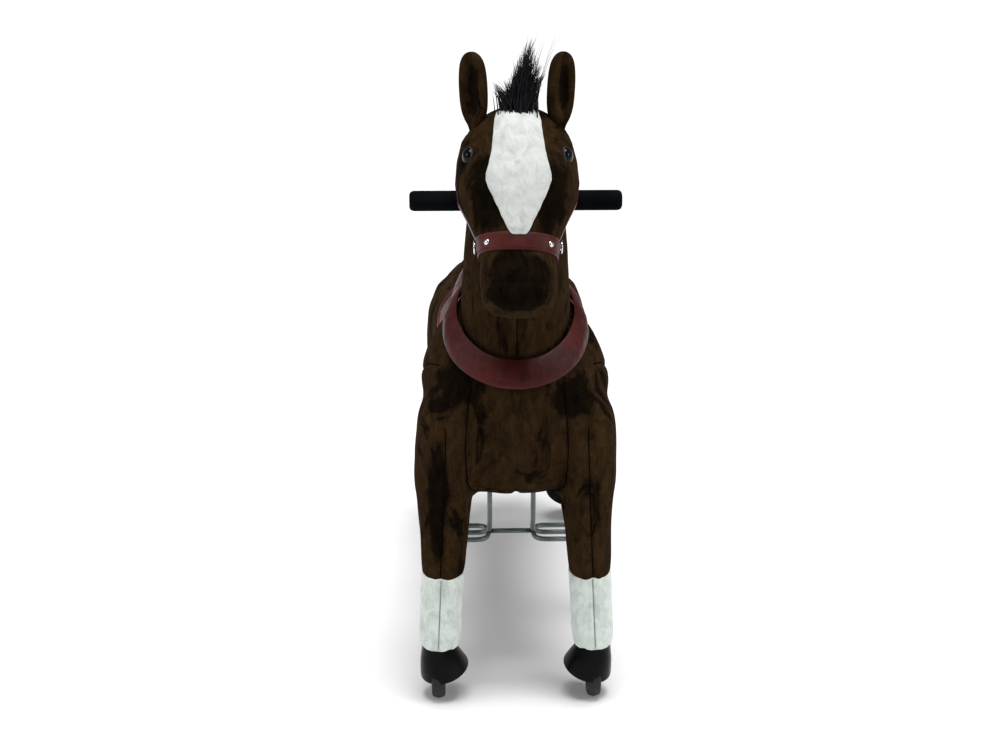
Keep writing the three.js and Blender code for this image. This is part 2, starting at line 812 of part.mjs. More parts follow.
function saddlePad() {
  const shape = [
    [-118, 74, 592, 0],
    [-96, 88, 584, 0],
    [-50, 96, 568, 0],
    [10, 100, 562, 0],
    [70, 98, 568, 0],
    [112, 88, 582, 0],
    [136, 62, 590, 0],
  ];
  const rings = shape.map(([y, half, high]) => {
    const low = 480;
    return ring(at(0, y, (low + high) / 2), at(half, 0, 0), at(0, 0, (high - low) / 2), 3, 24);
  });
  return cut(loft(rings), torsoSkin(-5 - GAP), torsoSkin(0));
}

function tail() {
  const rings = [
    [356, 462, 11, 11],
    [385, 470, 17, 15],
    [408, 446, 22, 19],
    [418, 390, 26, 19.1],
    [414, 320, 25, 18],
    [404, 262, 15, 12],
    [400, 236, 4, 4],
  ].map(([y, z, rx, ry], i, all) => {
    const next = all[Math.min(i + 1, all.length - 1)];
    const last = all[Math.max(i - 1, 0)];
    const along = at(0, next[0] - last[0], next[1] - last[1]).normalize();
    const across = along.clone().cross(at(1, 0, 0)).normalize();
    return ring(at(0, y, z), at(rx, 0, 0), across.multiplyScalar(ry), 2, 16);
  });
  return cut(loft(rings), torsoSkin(-GAP));
}

// ---- Scene graph ----
const horse = new THREE.Group();

function add(name, body, materialName) {
  const mesh = new THREE.Mesh(geometryOf(body), MATERIALS[materialName]);
  mesh.name = name;
  horse.add(mesh);
}

function addPair(name, body, materialName) {
  add(name + "_left", body, materialName);
  add(name + "_right", body.mirror([1, 0, 0]), materialName);
}

add("spine_frame", spine(), "steel");
add("front_pivot_shaft", pivotShaft(FRONT_PIVOT_Y), "steel");
add("rear_pivot_shaft", pivotShaft(REAR_PIVOT_Y), "steel");
add("footrest_guide", footrestGuide(), "steel");
add("torso_plush", torso(), "plush");
add("neck_collar", collar(), "leather");
add("saddle_skirt", saddleSkirt(), "leather");
add("saddle_pad", saddlePad(), "leather");
add("tail", tail(), "hair");
add("steering_column", column(), "steel");
add("handlebar", handlebar(), "steel");
addPair("grip", grip(), "foam");
add("neck_head_plush", neckAndHead(), "plush");
addPair("ear", ear(), "plush");
addPair("eye", eye(), "black");
add("face_blaze", blaze(), "white");
add("noseband", noseband(), "leather");
addPair("cheek_strap", cheekStrap(), "leather");
add("mane", mane(), "hair");
add("forelock", forelock(), "hair");
addPair("tie_rod", tieRod(), "steel");
for (const [name, leg] of Object.entries(LEGS)) {
  add(name + "_leg_yoke", yoke(leg), "steel");
  addPair(name + "_leg_tube", legTube(leg), "steel");
  addPair(name + "_leg_plush", legPlush(leg), "plush");
  addPair(name + "_sock", sock(leg), "white");
  addPair(name + "_fork", fork(leg, name === "front"), "steel");
  addPair(name + "_hoof", hoof(leg), "black");
  addPair(name + "_tyre", tyre(leg), "rubber");
  addPair(name + "_wheel_hub", wheelHub(leg), "black");
}
add("footrest", footrest(), "steel");
add("front_drive_link", driveLink(LEGS.front, 8), "steel");
add("rear_drive_link", driveLink(LEGS.rear, -13), "steel");

export default horse;
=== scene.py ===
"""A plush walking ride-on horse: stuffed skins, hair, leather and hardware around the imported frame."""

import json
import math
import random

import bmesh
import bpy
import numpy as np
from mathutils import Matrix, Vector
from mathutils.bvhtree import BVHTree


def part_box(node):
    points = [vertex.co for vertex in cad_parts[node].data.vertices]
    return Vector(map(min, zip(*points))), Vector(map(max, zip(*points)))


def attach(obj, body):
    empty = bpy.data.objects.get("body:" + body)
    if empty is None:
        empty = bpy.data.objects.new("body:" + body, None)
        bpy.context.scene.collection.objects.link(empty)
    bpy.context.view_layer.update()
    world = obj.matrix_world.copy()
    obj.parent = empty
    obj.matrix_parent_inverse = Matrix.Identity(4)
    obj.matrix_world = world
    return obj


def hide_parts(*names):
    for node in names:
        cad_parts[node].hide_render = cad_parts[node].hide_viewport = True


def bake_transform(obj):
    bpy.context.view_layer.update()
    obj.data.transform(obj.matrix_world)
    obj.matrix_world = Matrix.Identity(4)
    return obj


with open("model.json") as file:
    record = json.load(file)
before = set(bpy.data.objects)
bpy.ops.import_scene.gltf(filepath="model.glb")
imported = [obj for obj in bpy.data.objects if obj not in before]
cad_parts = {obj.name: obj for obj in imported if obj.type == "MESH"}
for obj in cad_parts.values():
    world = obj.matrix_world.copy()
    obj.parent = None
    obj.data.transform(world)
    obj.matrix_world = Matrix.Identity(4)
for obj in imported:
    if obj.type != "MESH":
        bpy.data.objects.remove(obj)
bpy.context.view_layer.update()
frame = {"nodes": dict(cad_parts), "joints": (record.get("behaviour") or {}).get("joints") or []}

# ---- Places from the frame, in metres ----
JOINT = {joint["name"]: joint for joint in frame["joints"]}


def joint_point(name):
    return Vector(JOINT[name]["pos_m"])


MM = 0.001
SIDES = ((1, "left"), (-1, "right"))  # the sign of X, and the name, of each side
FRONT_PIVOT = joint_point("front_leg_swing")
REAR_PIVOT = joint_point("rear_leg_swing")
STEER = joint_point("steering_turn")
WHEELS = {
    "front_left": joint_point("front_wheel_left_roll"),
    "front_right": joint_point("front_wheel_right_roll"),
    "rear_left": joint_point("rear_wheel_left_roll"),
    "rear_right": joint_point("rear_wheel_right_roll"),
}
WHEEL_R = WHEELS["front_left"].z
WHEEL_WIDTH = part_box("front_tyre_left")[1].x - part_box("front_tyre_left")[0].x
ANKLE_Z = 100 * MM
ANKLE = {
    "front": Vector((WHEELS["front_left"].x - 3 * MM, WHEELS["front_left"].y - 13 * MM, ANKLE_Z)),
    "rear": Vector((WHEELS["rear_left"].x - 3 * MM, WHEELS["rear_left"].y - 13 * MM, ANKLE_Z)),
}
LEG_TOP = {
    "front": Vector((98 * MM, FRONT_PIVOT.y, FRONT_PIVOT.z)),
    "rear": Vector((88 * MM, REAR_PIVOT.y, REAR_PIVOT.z)),
}
HEM_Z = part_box("front_sock_left")[1].z
SOCK_LOW_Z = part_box("front_sock_left")[0].z
BAR_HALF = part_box("grip_left")[1].x
BAR_Z = (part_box("grip_left")[0].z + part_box("grip_left")[1].z) / 2
GRIP_R = (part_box("grip_left")[1].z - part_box("grip_left")[0].z) / 2


def on_leg(end, z):
    """The point of a left leg's own line at a height."""
    top, low = LEG_TOP[end], ANKLE[end]
    t = (top.z - z) / (top.z - low.z)
    return top.lerp(low, t)


# ---- Camera, lights and floor ----
CAMERA_AT = Vector((-0.0763, WHEELS["front_left"].y - 2.3, 1.275))
CAMERA_DOWN = 18.55  # degrees below level
CAMERA_TURN = -1.31  # degrees about the vertical, so that the horse's right side shows a little
CAMERA_LENS = 62.3
AMBIENT = 0.22  # how strongly the white studio round the object lights it


SOFTBOXES = (  # name, place, what it points at, watts
    ("right_softbox", (2.3, -1.2, 1.7), (0, -0.1, 0.55), 20),
    ("left_softbox", (-2.4, -0.9, 1.7), (0, 0, 0.55), 18),
)
SOFTBOX_SIZE = 1.1
OVERHEAD_STRENGTH = 3.7  # the light above, whose soft shadow lies under the belly
OVERHEAD_SPREAD = 34  # degrees
OVERHEAD_LEAN = (6, 3)  # degrees about X and Y
FLOOR_HALF = 9


def make_stage():
    data = bpy.data.cameras.new("camera")
    data.lens = CAMERA_LENS
    data.sensor_width = 36
    camera = linked("camera", data)
    camera.location = CAMERA_AT
    camera.rotation_euler = (math.radians(90 - CAMERA_DOWN), 0, math.radians(CAMERA_TURN))
    bpy.context.scene.camera = camera

    corners = [(x * FLOOR_HALF, y * FLOOR_HALF, 0) for x, y in ((-1, -1), (1, -1), (1, 1), (-1, 1))]
    floor = mesh_object("floor", corners, [(0, 1, 2, 3)])
    floor.location.z = -0.5 * MM
    floor.data.materials.append(floor_material())

    for name, place, target, power in SOFTBOXES:
        add_softbox(name, place, target, power)
    overhead = bpy.data.lights.new("overhead", "SUN")
    overhead.energy = OVERHEAD_STRENGTH
    overhead.angle = math.radians(OVERHEAD_SPREAD)
    lamp = linked("overhead", overhead)
    lamp.rotation_euler = (math.radians(OVERHEAD_LEAN[0]), math.radians(OVERHEAD_LEAN[1]), 0)
    make_world()


def make_world():
    """A white backdrop that the camera sees at full strength, and that lights the object less."""
    world = bpy.data.worlds.new("studio")
    bpy.context.scene.world = world
    world.use_nodes = True
    tree = world.node_tree
    background = tree.nodes["Background"]
    background.inputs["Color"].default_value = (1, 1, 1, 1)
    seen = tree.nodes.new("ShaderNodeLightPath").outputs["Is Camera Ray"]
    strength = tree.nodes.new("ShaderNodeMapRange")
    strength.inputs["To Min"].default_value = AMBIENT
    strength.inputs["To Max"].default_value = 1.0
    tree.links.new(seen, strength.inputs["Value"])
    tree.links.new(strength.outputs["Result"], background.inputs["Strength"])
    bpy.context.scene.view_settings.view_transform = "Standard"


def add_softbox(name, place, target, power):
    data = bpy.data.lights.new(name, "AREA")
    data.shape = "SQUARE"
    data.size = SOFTBOX_SIZE
    data.energy = power
    light = linked(name, data)
    light.location = place
    aim = Vector(target) - Vector(place)
    light.rotation_euler = aim.to_track_quat("-Z", "Y").to_euler()


# ---- Meshes ----
def linked(name, data):
    """A new object in the scene, holding some data."""
    obj = bpy.data.objects.new(name, data)
    bpy.context.scene.collection.objects.link(obj)
    return obj


def smooth_shaded(mesh):
    mesh.polygons.foreach_set("use_smooth", [True] * len(mesh.polygons))


def mesh_object(name, verts, faces):
    mesh = bpy.data.meshes.new(name)
    mesh.from_pydata([tuple(map(float, v)) for v in verts], [], faces)
    smooth_shaded(mesh)
    mesh.update()
    return linked(name, mesh)


def loft(name, rings, caps=True):
    """A skin over rings of equal count; the ends are closed by one face each."""
    rings = [np.asarray(ring, float) for ring in rings]
    count = len(rings[0])
    verts = np.concatenate(rings)
    faces = []
    for r in range(len(rings) - 1):
        for i in range(count):
            a = r * count + i
            b = r * count + (i + 1) % count
            faces.append((a, b, b + count, a + count))
    if caps:
        faces.append(tuple(reversed(range(count))))
        faces.append(tuple(range((len(rings) - 1) * count, len(rings) * count)))
    obj = mesh_object(name, verts, faces)
    face_outwards(obj)
    return obj


def face_outwards(obj):
    bm = bmesh.new()
    bm.from_mesh(obj.data)
    bmesh.ops.recalc_face_normals(bm, faces=bm.faces)
    bm.to_mesh(obj.data)
    bm.free()


def ring(centre, u, v, power=2.0, sides=48):
    """Points round a centre in the plane of two half-axis vectors, squarer as power rises."""
    angle = np.arange(sides) * 2 * math.pi / sides
    c, s = np.cos(angle), np.sin(angle)
    c = np.sign(c) * np.abs(c) ** (2 / power)
    s = np.sign(s) * np.abs(s) ** (2 / power)
    return np.asarray(centre) + np.outer(c, np.asarray(u)) + np.outer(s, np.asarray(v))


def tube(name, path, radius, sides=12, closed=False):
    """A round tube along points."""
    points = [Vector(p) for p in path]
    count = len(points)
    rings = []
    normal = None
    for i, point in enumerate(points):
        if closed:
            along = points[(i + 1) % count] - points[i - 1]
        else:
            along = points[min(i + 1, count - 1)] - points[max(i - 1, 0)]
        along.normalize()
        if normal is None:
            normal = along.orthogonal().normalized()
        normal = (normal - along * normal.dot(along)).normalized()
        across = along.cross(normal)
        rings.append(ring(point, normal * radius, across * radius, 2, sides))
    if closed:
        rings.append(rings[0])
        obj = loft(name, rings, caps=False)
        weld(obj)
        return obj
    return loft(name, rings)


def weld(obj, distance=1e-6):
    bm = bmesh.new()
    bm.from_mesh(obj.data)
    bmesh.ops.remove_doubles(bm, verts=bm.verts, dist=distance)
    bmesh.ops.recalc_face_normals(bm, faces=bm.faces)
    bm.to_mesh(obj.data)
    bm.free()


def lathe(name, profile, place, steps=64):
    """A turned piece about its own Z, from closed (radius, height) pairs in mm, put where place says."""
    rings = []
    for i in range(steps + 1):
        angle = 2 * math.pi * i / steps
        rings.append([(r * MM * math.cos(angle), r * MM * math.sin(angle), z * MM) for r, z in profile])
    obj = loft(name, rings, caps=False)
    weld(obj, 1e-5)
    obj.data.transform(place)
    return obj


def join(name, pieces):
    """One object from several."""
    bm = bmesh.new()
    for piece in pieces:
        bm.from_mesh(piece.data)
        bpy.data.objects.remove(piece)
    mesh = bpy.data.meshes.new(name)
    bm.to_mesh(mesh)
    bm.free()
    return linked(name, mesh)


def bake(obj):
    """The object's modifiers applied to its mesh."""
    graph = bpy.context.evaluated_depsgraph_get()
    made = bpy.data.meshes.new_from_object(obj.evaluated_get(graph))
    obj.modifiers.clear()
    obj.data = made
    smooth_shaded(made)
    return obj


def subdivide(obj):
    finer = obj.modifiers.new("subdivide", "SUBSURF")
    finer.levels = 1
    finer.render_levels = 1


def melt(name, pieces, voxel, smooth, finer=True):
    """One closed smooth skin round overlapping pieces."""
    obj = join(name, pieces)
    remesh = obj.modifiers.new("remesh", "REMESH")
    remesh.mode = "VOXEL"
    remesh.voxel_size = voxel
    soften = obj.modifiers.new("smooth", "SMOOTH")
    soften.iterations = smooth
    if finer:
        subdivide(obj)
    return bake(obj)


def points_of(obj):
    co = np.empty(len(obj.data.vertices) * 3)
    obj.data.vertices.foreach_get("co", co)
    return co.reshape(-1, 3)


def normals_of(obj):
    normals = np.empty(len(obj.data.vertices) * 3, dtype=np.float32)
    obj.data.vertex_normals.foreach_get("vector", normals)
    return normals.reshape(-1, 3).astype(float)


def set_points(obj, co):
    obj.data.vertices.foreach_set("co", np.asarray(co, float).ravel())
    obj.data.update()


def thicken(obj, thickness, bevel=0.0):
    """A sheet given a thickness inwards from its face, then applied."""
    solid = obj.modifiers.new("solid", "SOLIDIFY")
    solid.thickness = thickness
    solid.offset = -1
    if bevel:
        edge = obj.modifiers.new("edge", "BEVEL")
        edge.width = bevel
        edge.segments = 3
        edge.limit_method = "ANGLE"
        edge.angle_limit = math.radians(50)
    return bake(obj)


def surface_of(obj):
    """The object's skin, as a tree that lines can be cast at."""
    corners = [vertex.co[:] for vertex in obj.data.vertices]
    return BVHTree.FromPolygons(corners, [face.vertices[:] for face in obj.data.polygons])


def cast(tree, origin, direction):
    """Where a line from outside meets a skin, and the skin's normal there."""
    hit, normal, _, _ = tree.ray_cast(Vector(origin), Vector(direction))
    if hit is None:
        hit, normal, _, _ = tree.find_nearest(Vector(origin))
    return np.array(hit), np.array(normal)


def set_on(place, normal):
    """The matrix that stands a piece's own Z on a surface."""
    turn = Vector(normal).to_track_quat("Z", "Y").to_matrix().to_4x4()
    return Matrix.Translation(Vector(place)) @ turn


def face_along(obj, index, direction):
    """Turns a sheet's faces round if the normal at one of its points doesn't go along a direction."""
    if normals_of(obj)[index] @ direction < 0:
        obj.data.flip_normals()


def grid_faces(rows, columns, wrap=False):
    """The faces of a grid of points, joined round across its columns if it wraps."""
    faces = []
    for i in range(rows - 1):
        for j in range(columns if wrap else columns - 1):
            a = i * columns + j
            b = i * columns + (j + 1) % columns
            faces.append((a, b, b + columns, a + columns))
    return faces


def resample(rows, count):
    """Rows of numbers made denser by a smooth curve through them."""
    rows = np.asarray(rows, float)
    t = np.linspace(0, len(rows) - 1, count)
    i = np.clip(t.astype(int), 0, len(rows) - 2)
    f = (t - i)[:, None]
    before = rows[np.clip(i - 1, 0, len(rows) - 1)]
    a, b = rows[i], rows[i + 1]
    after = rows[np.clip(i + 2, 0, len(rows) - 1)]
    square = (2 * before - 5 * a + 4 * b - after) * f**2
    cube = (3 * a - before - 3 * b + after) * f**3
    return 0.5 * (2 * a + (b - before) * f + square + cube)


def smooth_noise(points, scale, seed=0):
    """Soft noise from -1 to 1 at points, with features 1/scale metres across."""
    p = np.asarray(points) * scale + seed * 17.31
    cell = np.floor(p).astype(np.int64)
    f = p - cell
    f = f * f * (3 - 2 * f)
    total = np.zeros(len(p))
    for dx in (0, 1):
        for dy in (0, 1):
            for dz in (0, 1):
                corner = cell + (dx, dy, dz)
                mixed = corner[:, 0] * 73856093 ^ corner[:, 1] * 19349663 ^ corner[:, 2] * 83492791
                mixed = (mixed ^ (mixed >> 13)) * 1274126177 & 0x7FFFFFFF
                value = (mixed % 65536) / 32767.5 - 1
                weight = (
                    (f[:, 0] if dx else 1 - f[:, 0])
                    * (f[:, 1] if dy else 1 - f[:, 1])
                    * (f[:, 2] if dz else 1 - f[:, 2])
                )
                total += value * weight
    return total


def groove(distance, width):
    """How deep a sewn seam pulls in at a distance from its line: 1 on the line, 0 far off."""
    return np.exp(-((distance / width) ** 2))


# ---- Materials ----
class Shader:
    """One node material, built a node at a time around a Principled shader."""

    def __init__(self, name):
        self.material = bpy.data.materials.new(name)
        self.material.use_nodes = True
        self.tree = self.material.node_tree
        self.surface = self.tree.nodes["Principled BSDF"]
        self.place = self.tree.nodes.new("ShaderNodeTexCoord").outputs["Object"]

    def feed(self, socket, value):
        """Links a socket into an input, or sets the input to a number, a vector or a colour."""
        if isinstance(value, bpy.types.NodeSocket):
            self.tree.links.new(value, socket)
        elif socket.type == "RGBA":
            socket.default_value = (*value, 1)
        else:
            socket.default_value = value

    def node(self, kind, inputs=(), **settings):
        made = self.tree.nodes.new("ShaderNode" + kind)
        for key, value in settings.items():
            setattr(made, key, value)
        for key, value in dict(inputs).items():
            self.feed(made.inputs[key], value)
        return made

    def stretched(self, x, y, z):
        return self.node("Mapping", {"Vector": self.place, "Scale": (x, y, z)}).outputs["Vector"]

    def noise(self, scale, detail=2.0, rough=0.5, vector=None, distortion=0.0):
        inputs = {
            "Vector": vector or self.place,
            "Scale": scale,
            "Detail": detail,
            "Roughness": rough,
            "Distortion": distortion,
        }
        return self.node("TexNoise", inputs).outputs["Fac"]

    def ramp(self, value, low, high, to_low=0.0, to_high=1.0):
        inputs = {"Value": value, "From Min": low, "From Max": high, "To Min": to_low, "To Max": to_high}
        return self.node("MapRange", inputs).outputs["Result"]

    def mix(self, factor, a, b):
        return self.node("Mix", {0: factor, 6: a, 7: b}, data_type="RGBA").outputs[2]

    def maths(self, operation, a, b):
        return self.node("Math", {0: a, 1: b}, operation=operation).outputs[0]

    def bump(self, height, strength, distance, under=None):
        inputs = {"Height": height, "Strength": strength, "Distance": distance}
        if under:
            inputs["Normal"] = under
        return self.node("Bump", inputs).outputs["Normal"]

    def set(self, **values):
        """Principled inputs: a number or colour set directly, or a socket linked in."""
        for key, value in values.items():
            self.feed(self.surface.inputs[key.replace("_", " ")], value)
        return self.material


def plush(name, crushed_and_shade, body, lit, patches=0.5, zones=()):
    """Short pile fabric: fibres, streaks along the nap, and patches where it lies the other way; the patches
    are partly real tone and partly painted sheen, in the lighter colour.

    Each zone is a place and a size, in mm, where the colour is held to its darker end; on the face these
    zones are painted shade.
    """
    s = Shader(name)
    fibres = s.noise(1, 3, 0.65, s.stretched(620, 620, 260))
    streaks = s.noise(1, 3, 0.6, s.stretched(90, 90, 38), 0.6)
    clumps = s.noise(1, 4, 0.62, s.stretched(17, 17, 9), 1.4)
    rough_edge = s.noise(1, 4, 0.65, s.stretched(34, 34, 22), 0.8)
    # Patches: partly the pile's real lie, partly painted sheen where they take the lighter colour; the zones
    # below hold the colour at its darker end.
    lay_and_shade = s.ramp(clumps, patches - 0.03, patches + 0.07)
    for centre, size in zones:
        inputs = {
            "Vector": s.place,
            "Location": tuple(-c / r for c, r in zip(centre, size)),
            "Scale": tuple(1 / (r * MM) for r in size),
        }
        from_centre = s.node("Mapping", inputs).outputs["Vector"]
        inside = s.node("VectorMath", {0: from_centre}, operation="LENGTH")
        edge = s.maths("ADD", inside.outputs["Value"], s.ramp(rough_edge, 0.3, 0.7, -0.3, 0.3))
        lay_and_shade = s.maths("MULTIPLY", lay_and_shade, s.ramp(edge, 0.8, 1.1))
    grain = s.maths("ADD", s.maths("MULTIPLY", streaks, 0.6), s.maths("MULTIPLY", fibres, 0.4))
    tone = s.ramp(grain, 0.34, 0.70)
    # Darker end: crushed pile, and painted shade inside the face's zones; lighter end: painted sheen.
    colour = s.mix(lay_and_shade, s.mix(tone, crushed_and_shade, body), s.mix(tone, body, lit))
    heights = s.maths("ADD", s.maths("MULTIPLY", fibres, 0.5), s.maths("MULTIPLY", streaks, 0.8))
    coarse = s.bump(clumps, 0.35, 2.5 * MM)
    return s.set(
        Base_Color=colour,
        Roughness=0.95,
        Specular_IOR_Level=0.03,
        Sheen_Weight=0.16,
        Sheen_Roughness=0.35,
        Sheen_Tint=lit,
        Normal=s.bump(heights, 0.75, 1.3 * MM, coarse),
    )


def white_pile(name, base, shade):
    """Longer white pile in soft tufts."""
    s = Shader(name)
    fibres = s.noise(1, 3, 0.7, s.stretched(700, 700, 260))
    tufts = s.noise(1, 4, 0.6, s.stretched(60, 60, 40), 0.8)
    grain = s.maths("ADD", s.maths("MULTIPLY", tufts, 0.65), s.maths("MULTIPLY", fibres, 0.35))
    tone = s.ramp(grain, 0.3, 0.56)
    colour = s.mix(tone, shade, base)
    heights = s.maths("ADD", s.maths("MULTIPLY", fibres, 0.4), tufts)
    return s.set(
        Base_Color=colour,
        Roughness=0.9,
        Specular_IOR_Level=0.2,
        Sheen_Weight=0.3,
        Sheen_Roughness=0.5,
        Normal=s.bump(heights, 0.6, 1.6 * MM),
    )


def leather(name, base, worn, rough=0.36, grain=1.0):
    """Grained leather with creases whose hollows are darkened as painted shade, paler rubbed patches at
    random and uneven gloss.
    """
    s = Shader(name)
    cells = s.node("TexVoronoi", {"Vector": s.place, "Scale": 520 / grain}, feature="DISTANCE_TO_EDGE")
    creases = s.noise(60, 5, 0.6, distortion=0.8)
    broad = s.noise(14, 3, 0.5)
    colour = s.mix(s.ramp(broad, 0.35, 0.7), base, worn)
    # Darker in the hollows of the creases: painted shade.
    colour = s.mix(s.ramp(creases, 0.3, 0.5, 0.35, 0.0), colour, tuple(c * 0.4 for c in base))
    pebbles = s.bump(s.ramp(cells.outputs["Distance"], 0.0, 0.16), 0.35, 0.35 * MM * grain)
    folds = s.bump(creases, 0.3, 1.4 * MM, pebbles)
    return s.set(
        Base_Color=colour,
        Roughness=s.ramp(broad, 0.3, 0.7, rough - 0.06, rough + 0.1),
        Specular_IOR_Level=0.16,
        Normal=folds,
    )


def moulded(name, base, rough, texture=0.12, scale=900, specular=0.5):
    """Moulded plastic or rubber: a fine even texture and slightly uneven gloss."""
    s = Shader(name)
    fine = s.noise(scale, 3, 0.6)
    broad = s.noise(24, 3, 0.5)
    colour = s.mix(s.ramp(broad, 0.35, 0.65), base, tuple(c * 1.5 + 0.002 for c in base))
    return s.set(
        Base_Color=colour,
        Roughness=s.ramp(broad, 0.3, 0.7, rough - 0.04, rough + 0.08),
        Specular_IOR_Level=specular,
        Normal=s.bump(fine, texture, 0.3 * MM),
    )


def metal(name, base, rough, metallic=1.0, flecks=0.1):
    """Plated or painted metal with a faint brushed unevenness."""
    s = Shader(name)
    broad = s.noise(45, 4, 0.6)
    fine = s.noise(1, 3, 0.6, s.stretched(300, 300, 1400))
    colour = s.mix(s.ramp(broad, 0.35, 0.7), base, tuple(c * 0.72 for c in base))
    return s.set(
        Base_Color=colour,
        Metallic=metallic,
        Roughness=s.ramp(broad, 0.3, 0.7, rough, rough + 0.12),
        Normal=s.bump(fine, flecks, 0.15 * MM),
    )


def hair(name, root, tip):
    """Coarse synthetic hair, paler in streaks along its length."""
    s = Shader(name)
    strands = s.noise(1, 3, 0.6, s.stretched(900, 900, 120))
    colour = s.mix(s.ramp(strands, 0.4, 0.68), root, tip)
    return s.set(
        Base_Color=colour,
        Roughness=0.45,
        Specular_IOR_Level=0.25,
        Normal=s.bump(strands, 0.4, 0.3 * MM),
    )


def floor_material():
    s = Shader("floor")
    soft = s.noise(3, 2, 0.5)
    white = s.mix(soft, (0.73, 0.73, 0.73), (0.75, 0.75, 0.75))
    return s.set(
        Base_Color=white,
        Roughness=0.9,
        Specular_IOR_Level=0.1,
        Emission_Color=(1.0, 1.0, 1.0),
        Emission_Strength=0.07,
    )


# The plush's darkest, middle and lighter browns: the lighter one is painted sheen, and the darkest is partly
# crushed pile and partly painted shade.
BROWN = ((0.0008, 0.0006, 0.0005), (0.0098, 0.0054, 0.0023), (0.041, 0.0218, 0.0082))
# Places and sizes, in mm, of painted shade: beside the blaze, on the end of the muzzle and inside the ears.
FACE_SHADE_ZONES = (
    ((44, -378, 772), (25, 60, 52)),
    ((-44, -378, 772), (25, 60, 52)),
    ((-3, -428, 668), (56, 60, 50)),
    ((-60, -312, 902), (8, 30, 36)),
    ((63, -312, 902), (8, 30, 36)),
)
# Darker patches on the shoulders and down the right leg.
BODY_ZONES = (
    ((84, -340, 470), (34, 70, 30)),
    ((-84, -340, 490), (40, 70, 34)),
    ((-112, -350, 330), (16, 60, 90)),
)


MATERIALS = {
    "plush": plush("brown_plush", *BROWN, 0.40, BODY_ZONES),
    "face_plush": plush("face_plush", *BROWN, 0.38, FACE_SHADE_ZONES),
    "white": white_pile("white_pile", (0.60, 0.62, 0.60), (0.40, 0.42, 0.40)),
    "sock": white_pile("sock_pile", (0.64, 0.69, 0.65), (0.38, 0.44, 0.40)),
    "leather": leather("red_brown_leather", (0.036, 0.0045, 0.0037), (0.076, 0.0105, 0.0085)),
    "piping": leather("piping_leather", (0.085, 0.02, 0.018), (0.13, 0.036, 0.034), 0.42, 0.7),
    "thread": moulded("seam_thread", (0.03, 0.010, 0.008), 0.8, 0.3, 1500, 0.2),
    "hair": hair("black_hair", (0.0022, 0.0022, 0.003), (0.007, 0.008, 0.012)),
    "foam": moulded("grip_foam", (0.0012, 0.0016, 0.0022), 0.9, 0.5, 1300, 0.04),
    "hoof": moulded("hoof_gloss", (0.0012, 0.0014, 0.0018), 0.26, 0.06, 300, 0.07),
    "tyre": moulded("tyre_rubber", (0.008, 0.008, 0.0085), 0.6, 0.25, 1100, 0.3),
    "hub": moulded("hub_plastic", (0.02, 0.02, 0.021), 0.35, 0.1, 700),
    "grey": metal("grey_steel", (0.155, 0.178, 0.18), 0.36, 0.55),
    "steel": metal("black_steel", (0.035, 0.036, 0.038), 0.42, 0.6),
    "chrome": metal("chrome", (0.78, 0.79, 0.8), 0.1, 1.0, 0.02),
    "eye": moulded("eye_gloss", (0.001, 0.0008, 0.0008), 0.08, 0.0, 300, 0.14),
    "rim": moulded("eye_rim", (0.03, 0.03, 0.031), 0.4, 0.05, 500, 0.15),
    # Lines laid in the plush and sock seams: partly stitching, partly painted shade of the grooves.
    "seam": moulded("plush_seam", (0.0012, 0.0007, 0.0005), 0.9, 0.3, 900, 0.02),
    "sock_seam": moulded("sock_seam", (0.20, 0.23, 0.21), 0.9, 0.3, 900, 0.05),
}


def finish(obj, material, body, nodes=()):
    """A piece's material, the body it rides on, and the CAD nodes it stands for."""
    obj.data.materials.clear()
    obj.data.materials.append(MATERIALS[material])
    if body is not None:
        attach(obj, body)
    if nodes:
        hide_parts(*nodes)
    return obj


def mirrored(obj, name):
    """A copy of a left piece on the right."""
    mesh = obj.data.copy()
    mesh.transform(Matrix.Scale(-1, 4, (1, 0, 0)))
    mesh.flip_normals()
    return linked(name, mesh)


# ---- Body skins ----
# The barrel's cross-sections from chest to rump, in mm: y, half width, and its lowest, widest and highest z.
BARREL = [
    (-340, 20, 396, 410, 424),
    (-337, 52, 366, 406, 454),
    (-328, 86, 338, 404, 478),
    (-310, 120, 318, 404, 498),
    (-280, 136, 307, 404, 512),
    (-235, 139, 303, 404, 524),
    (-150, 129, 299, 404, 533),
    (-60, 120, 295, 402, 532),
    (50, 118, 296, 402, 530),
    (150, 121, 299, 402, 533),
    (225, 130, 303, 402, 536),
    (285, 128, 314, 404, 530),
    (325, 112, 334, 410, 519),
    (348, 84, 362, 418, 492),
    (359, 50, 392, 424, 462),
    (362, 20, 416, 427, 440),
]
# Legs above the hem: z, centre x, centre y, half width, half depth.
FRONT_LEG = [
    (480, 78, -266, 26, 34),
    (462, 86, -274, 42, 52),
    (430, 93, -282, 50, 61),
    (390, 97, -288, 49, 62),
    (350, 101.5, -294, 45, 55),
    (310, 103.5, -301, 39.5, 47),
    (270, 104.5, -308, 36.5, 43),
    (235, 106, -314.6, 34, 40),
    (205, 107, -320, 32, 37.5),
    (196, 107.5, -321.4, 30.4, 36),
]
REAR_LEG = [
    (490, 68, 250, 30, 50),
    (468, 80, 256, 42, 72),
    (432, 89, 263, 46, 85),
    (395, 93, 270, 46, 86),
    (355, 96, 282, 43, 76),
    (315, 99, 295, 38, 60),
    (278, 101, 307, 34, 47),
    (250, 103, 314, 32, 41),
    (222, 105.8, 314, 30.8, 37),
    (205, 107.5, 311.5, 30.2, 36),
    (196, 108.4, 311.2, 29, 34.5),
]
SPLIT_Y = 0.112  # the front and rear skins meet here, under the saddle


def collar_height(angle):
    """The collar's line round the neck, low at the chest (angle 0), high at the withers."""
    return 560 - 52 * np.cos(angle)


NECK_SIDES = 72


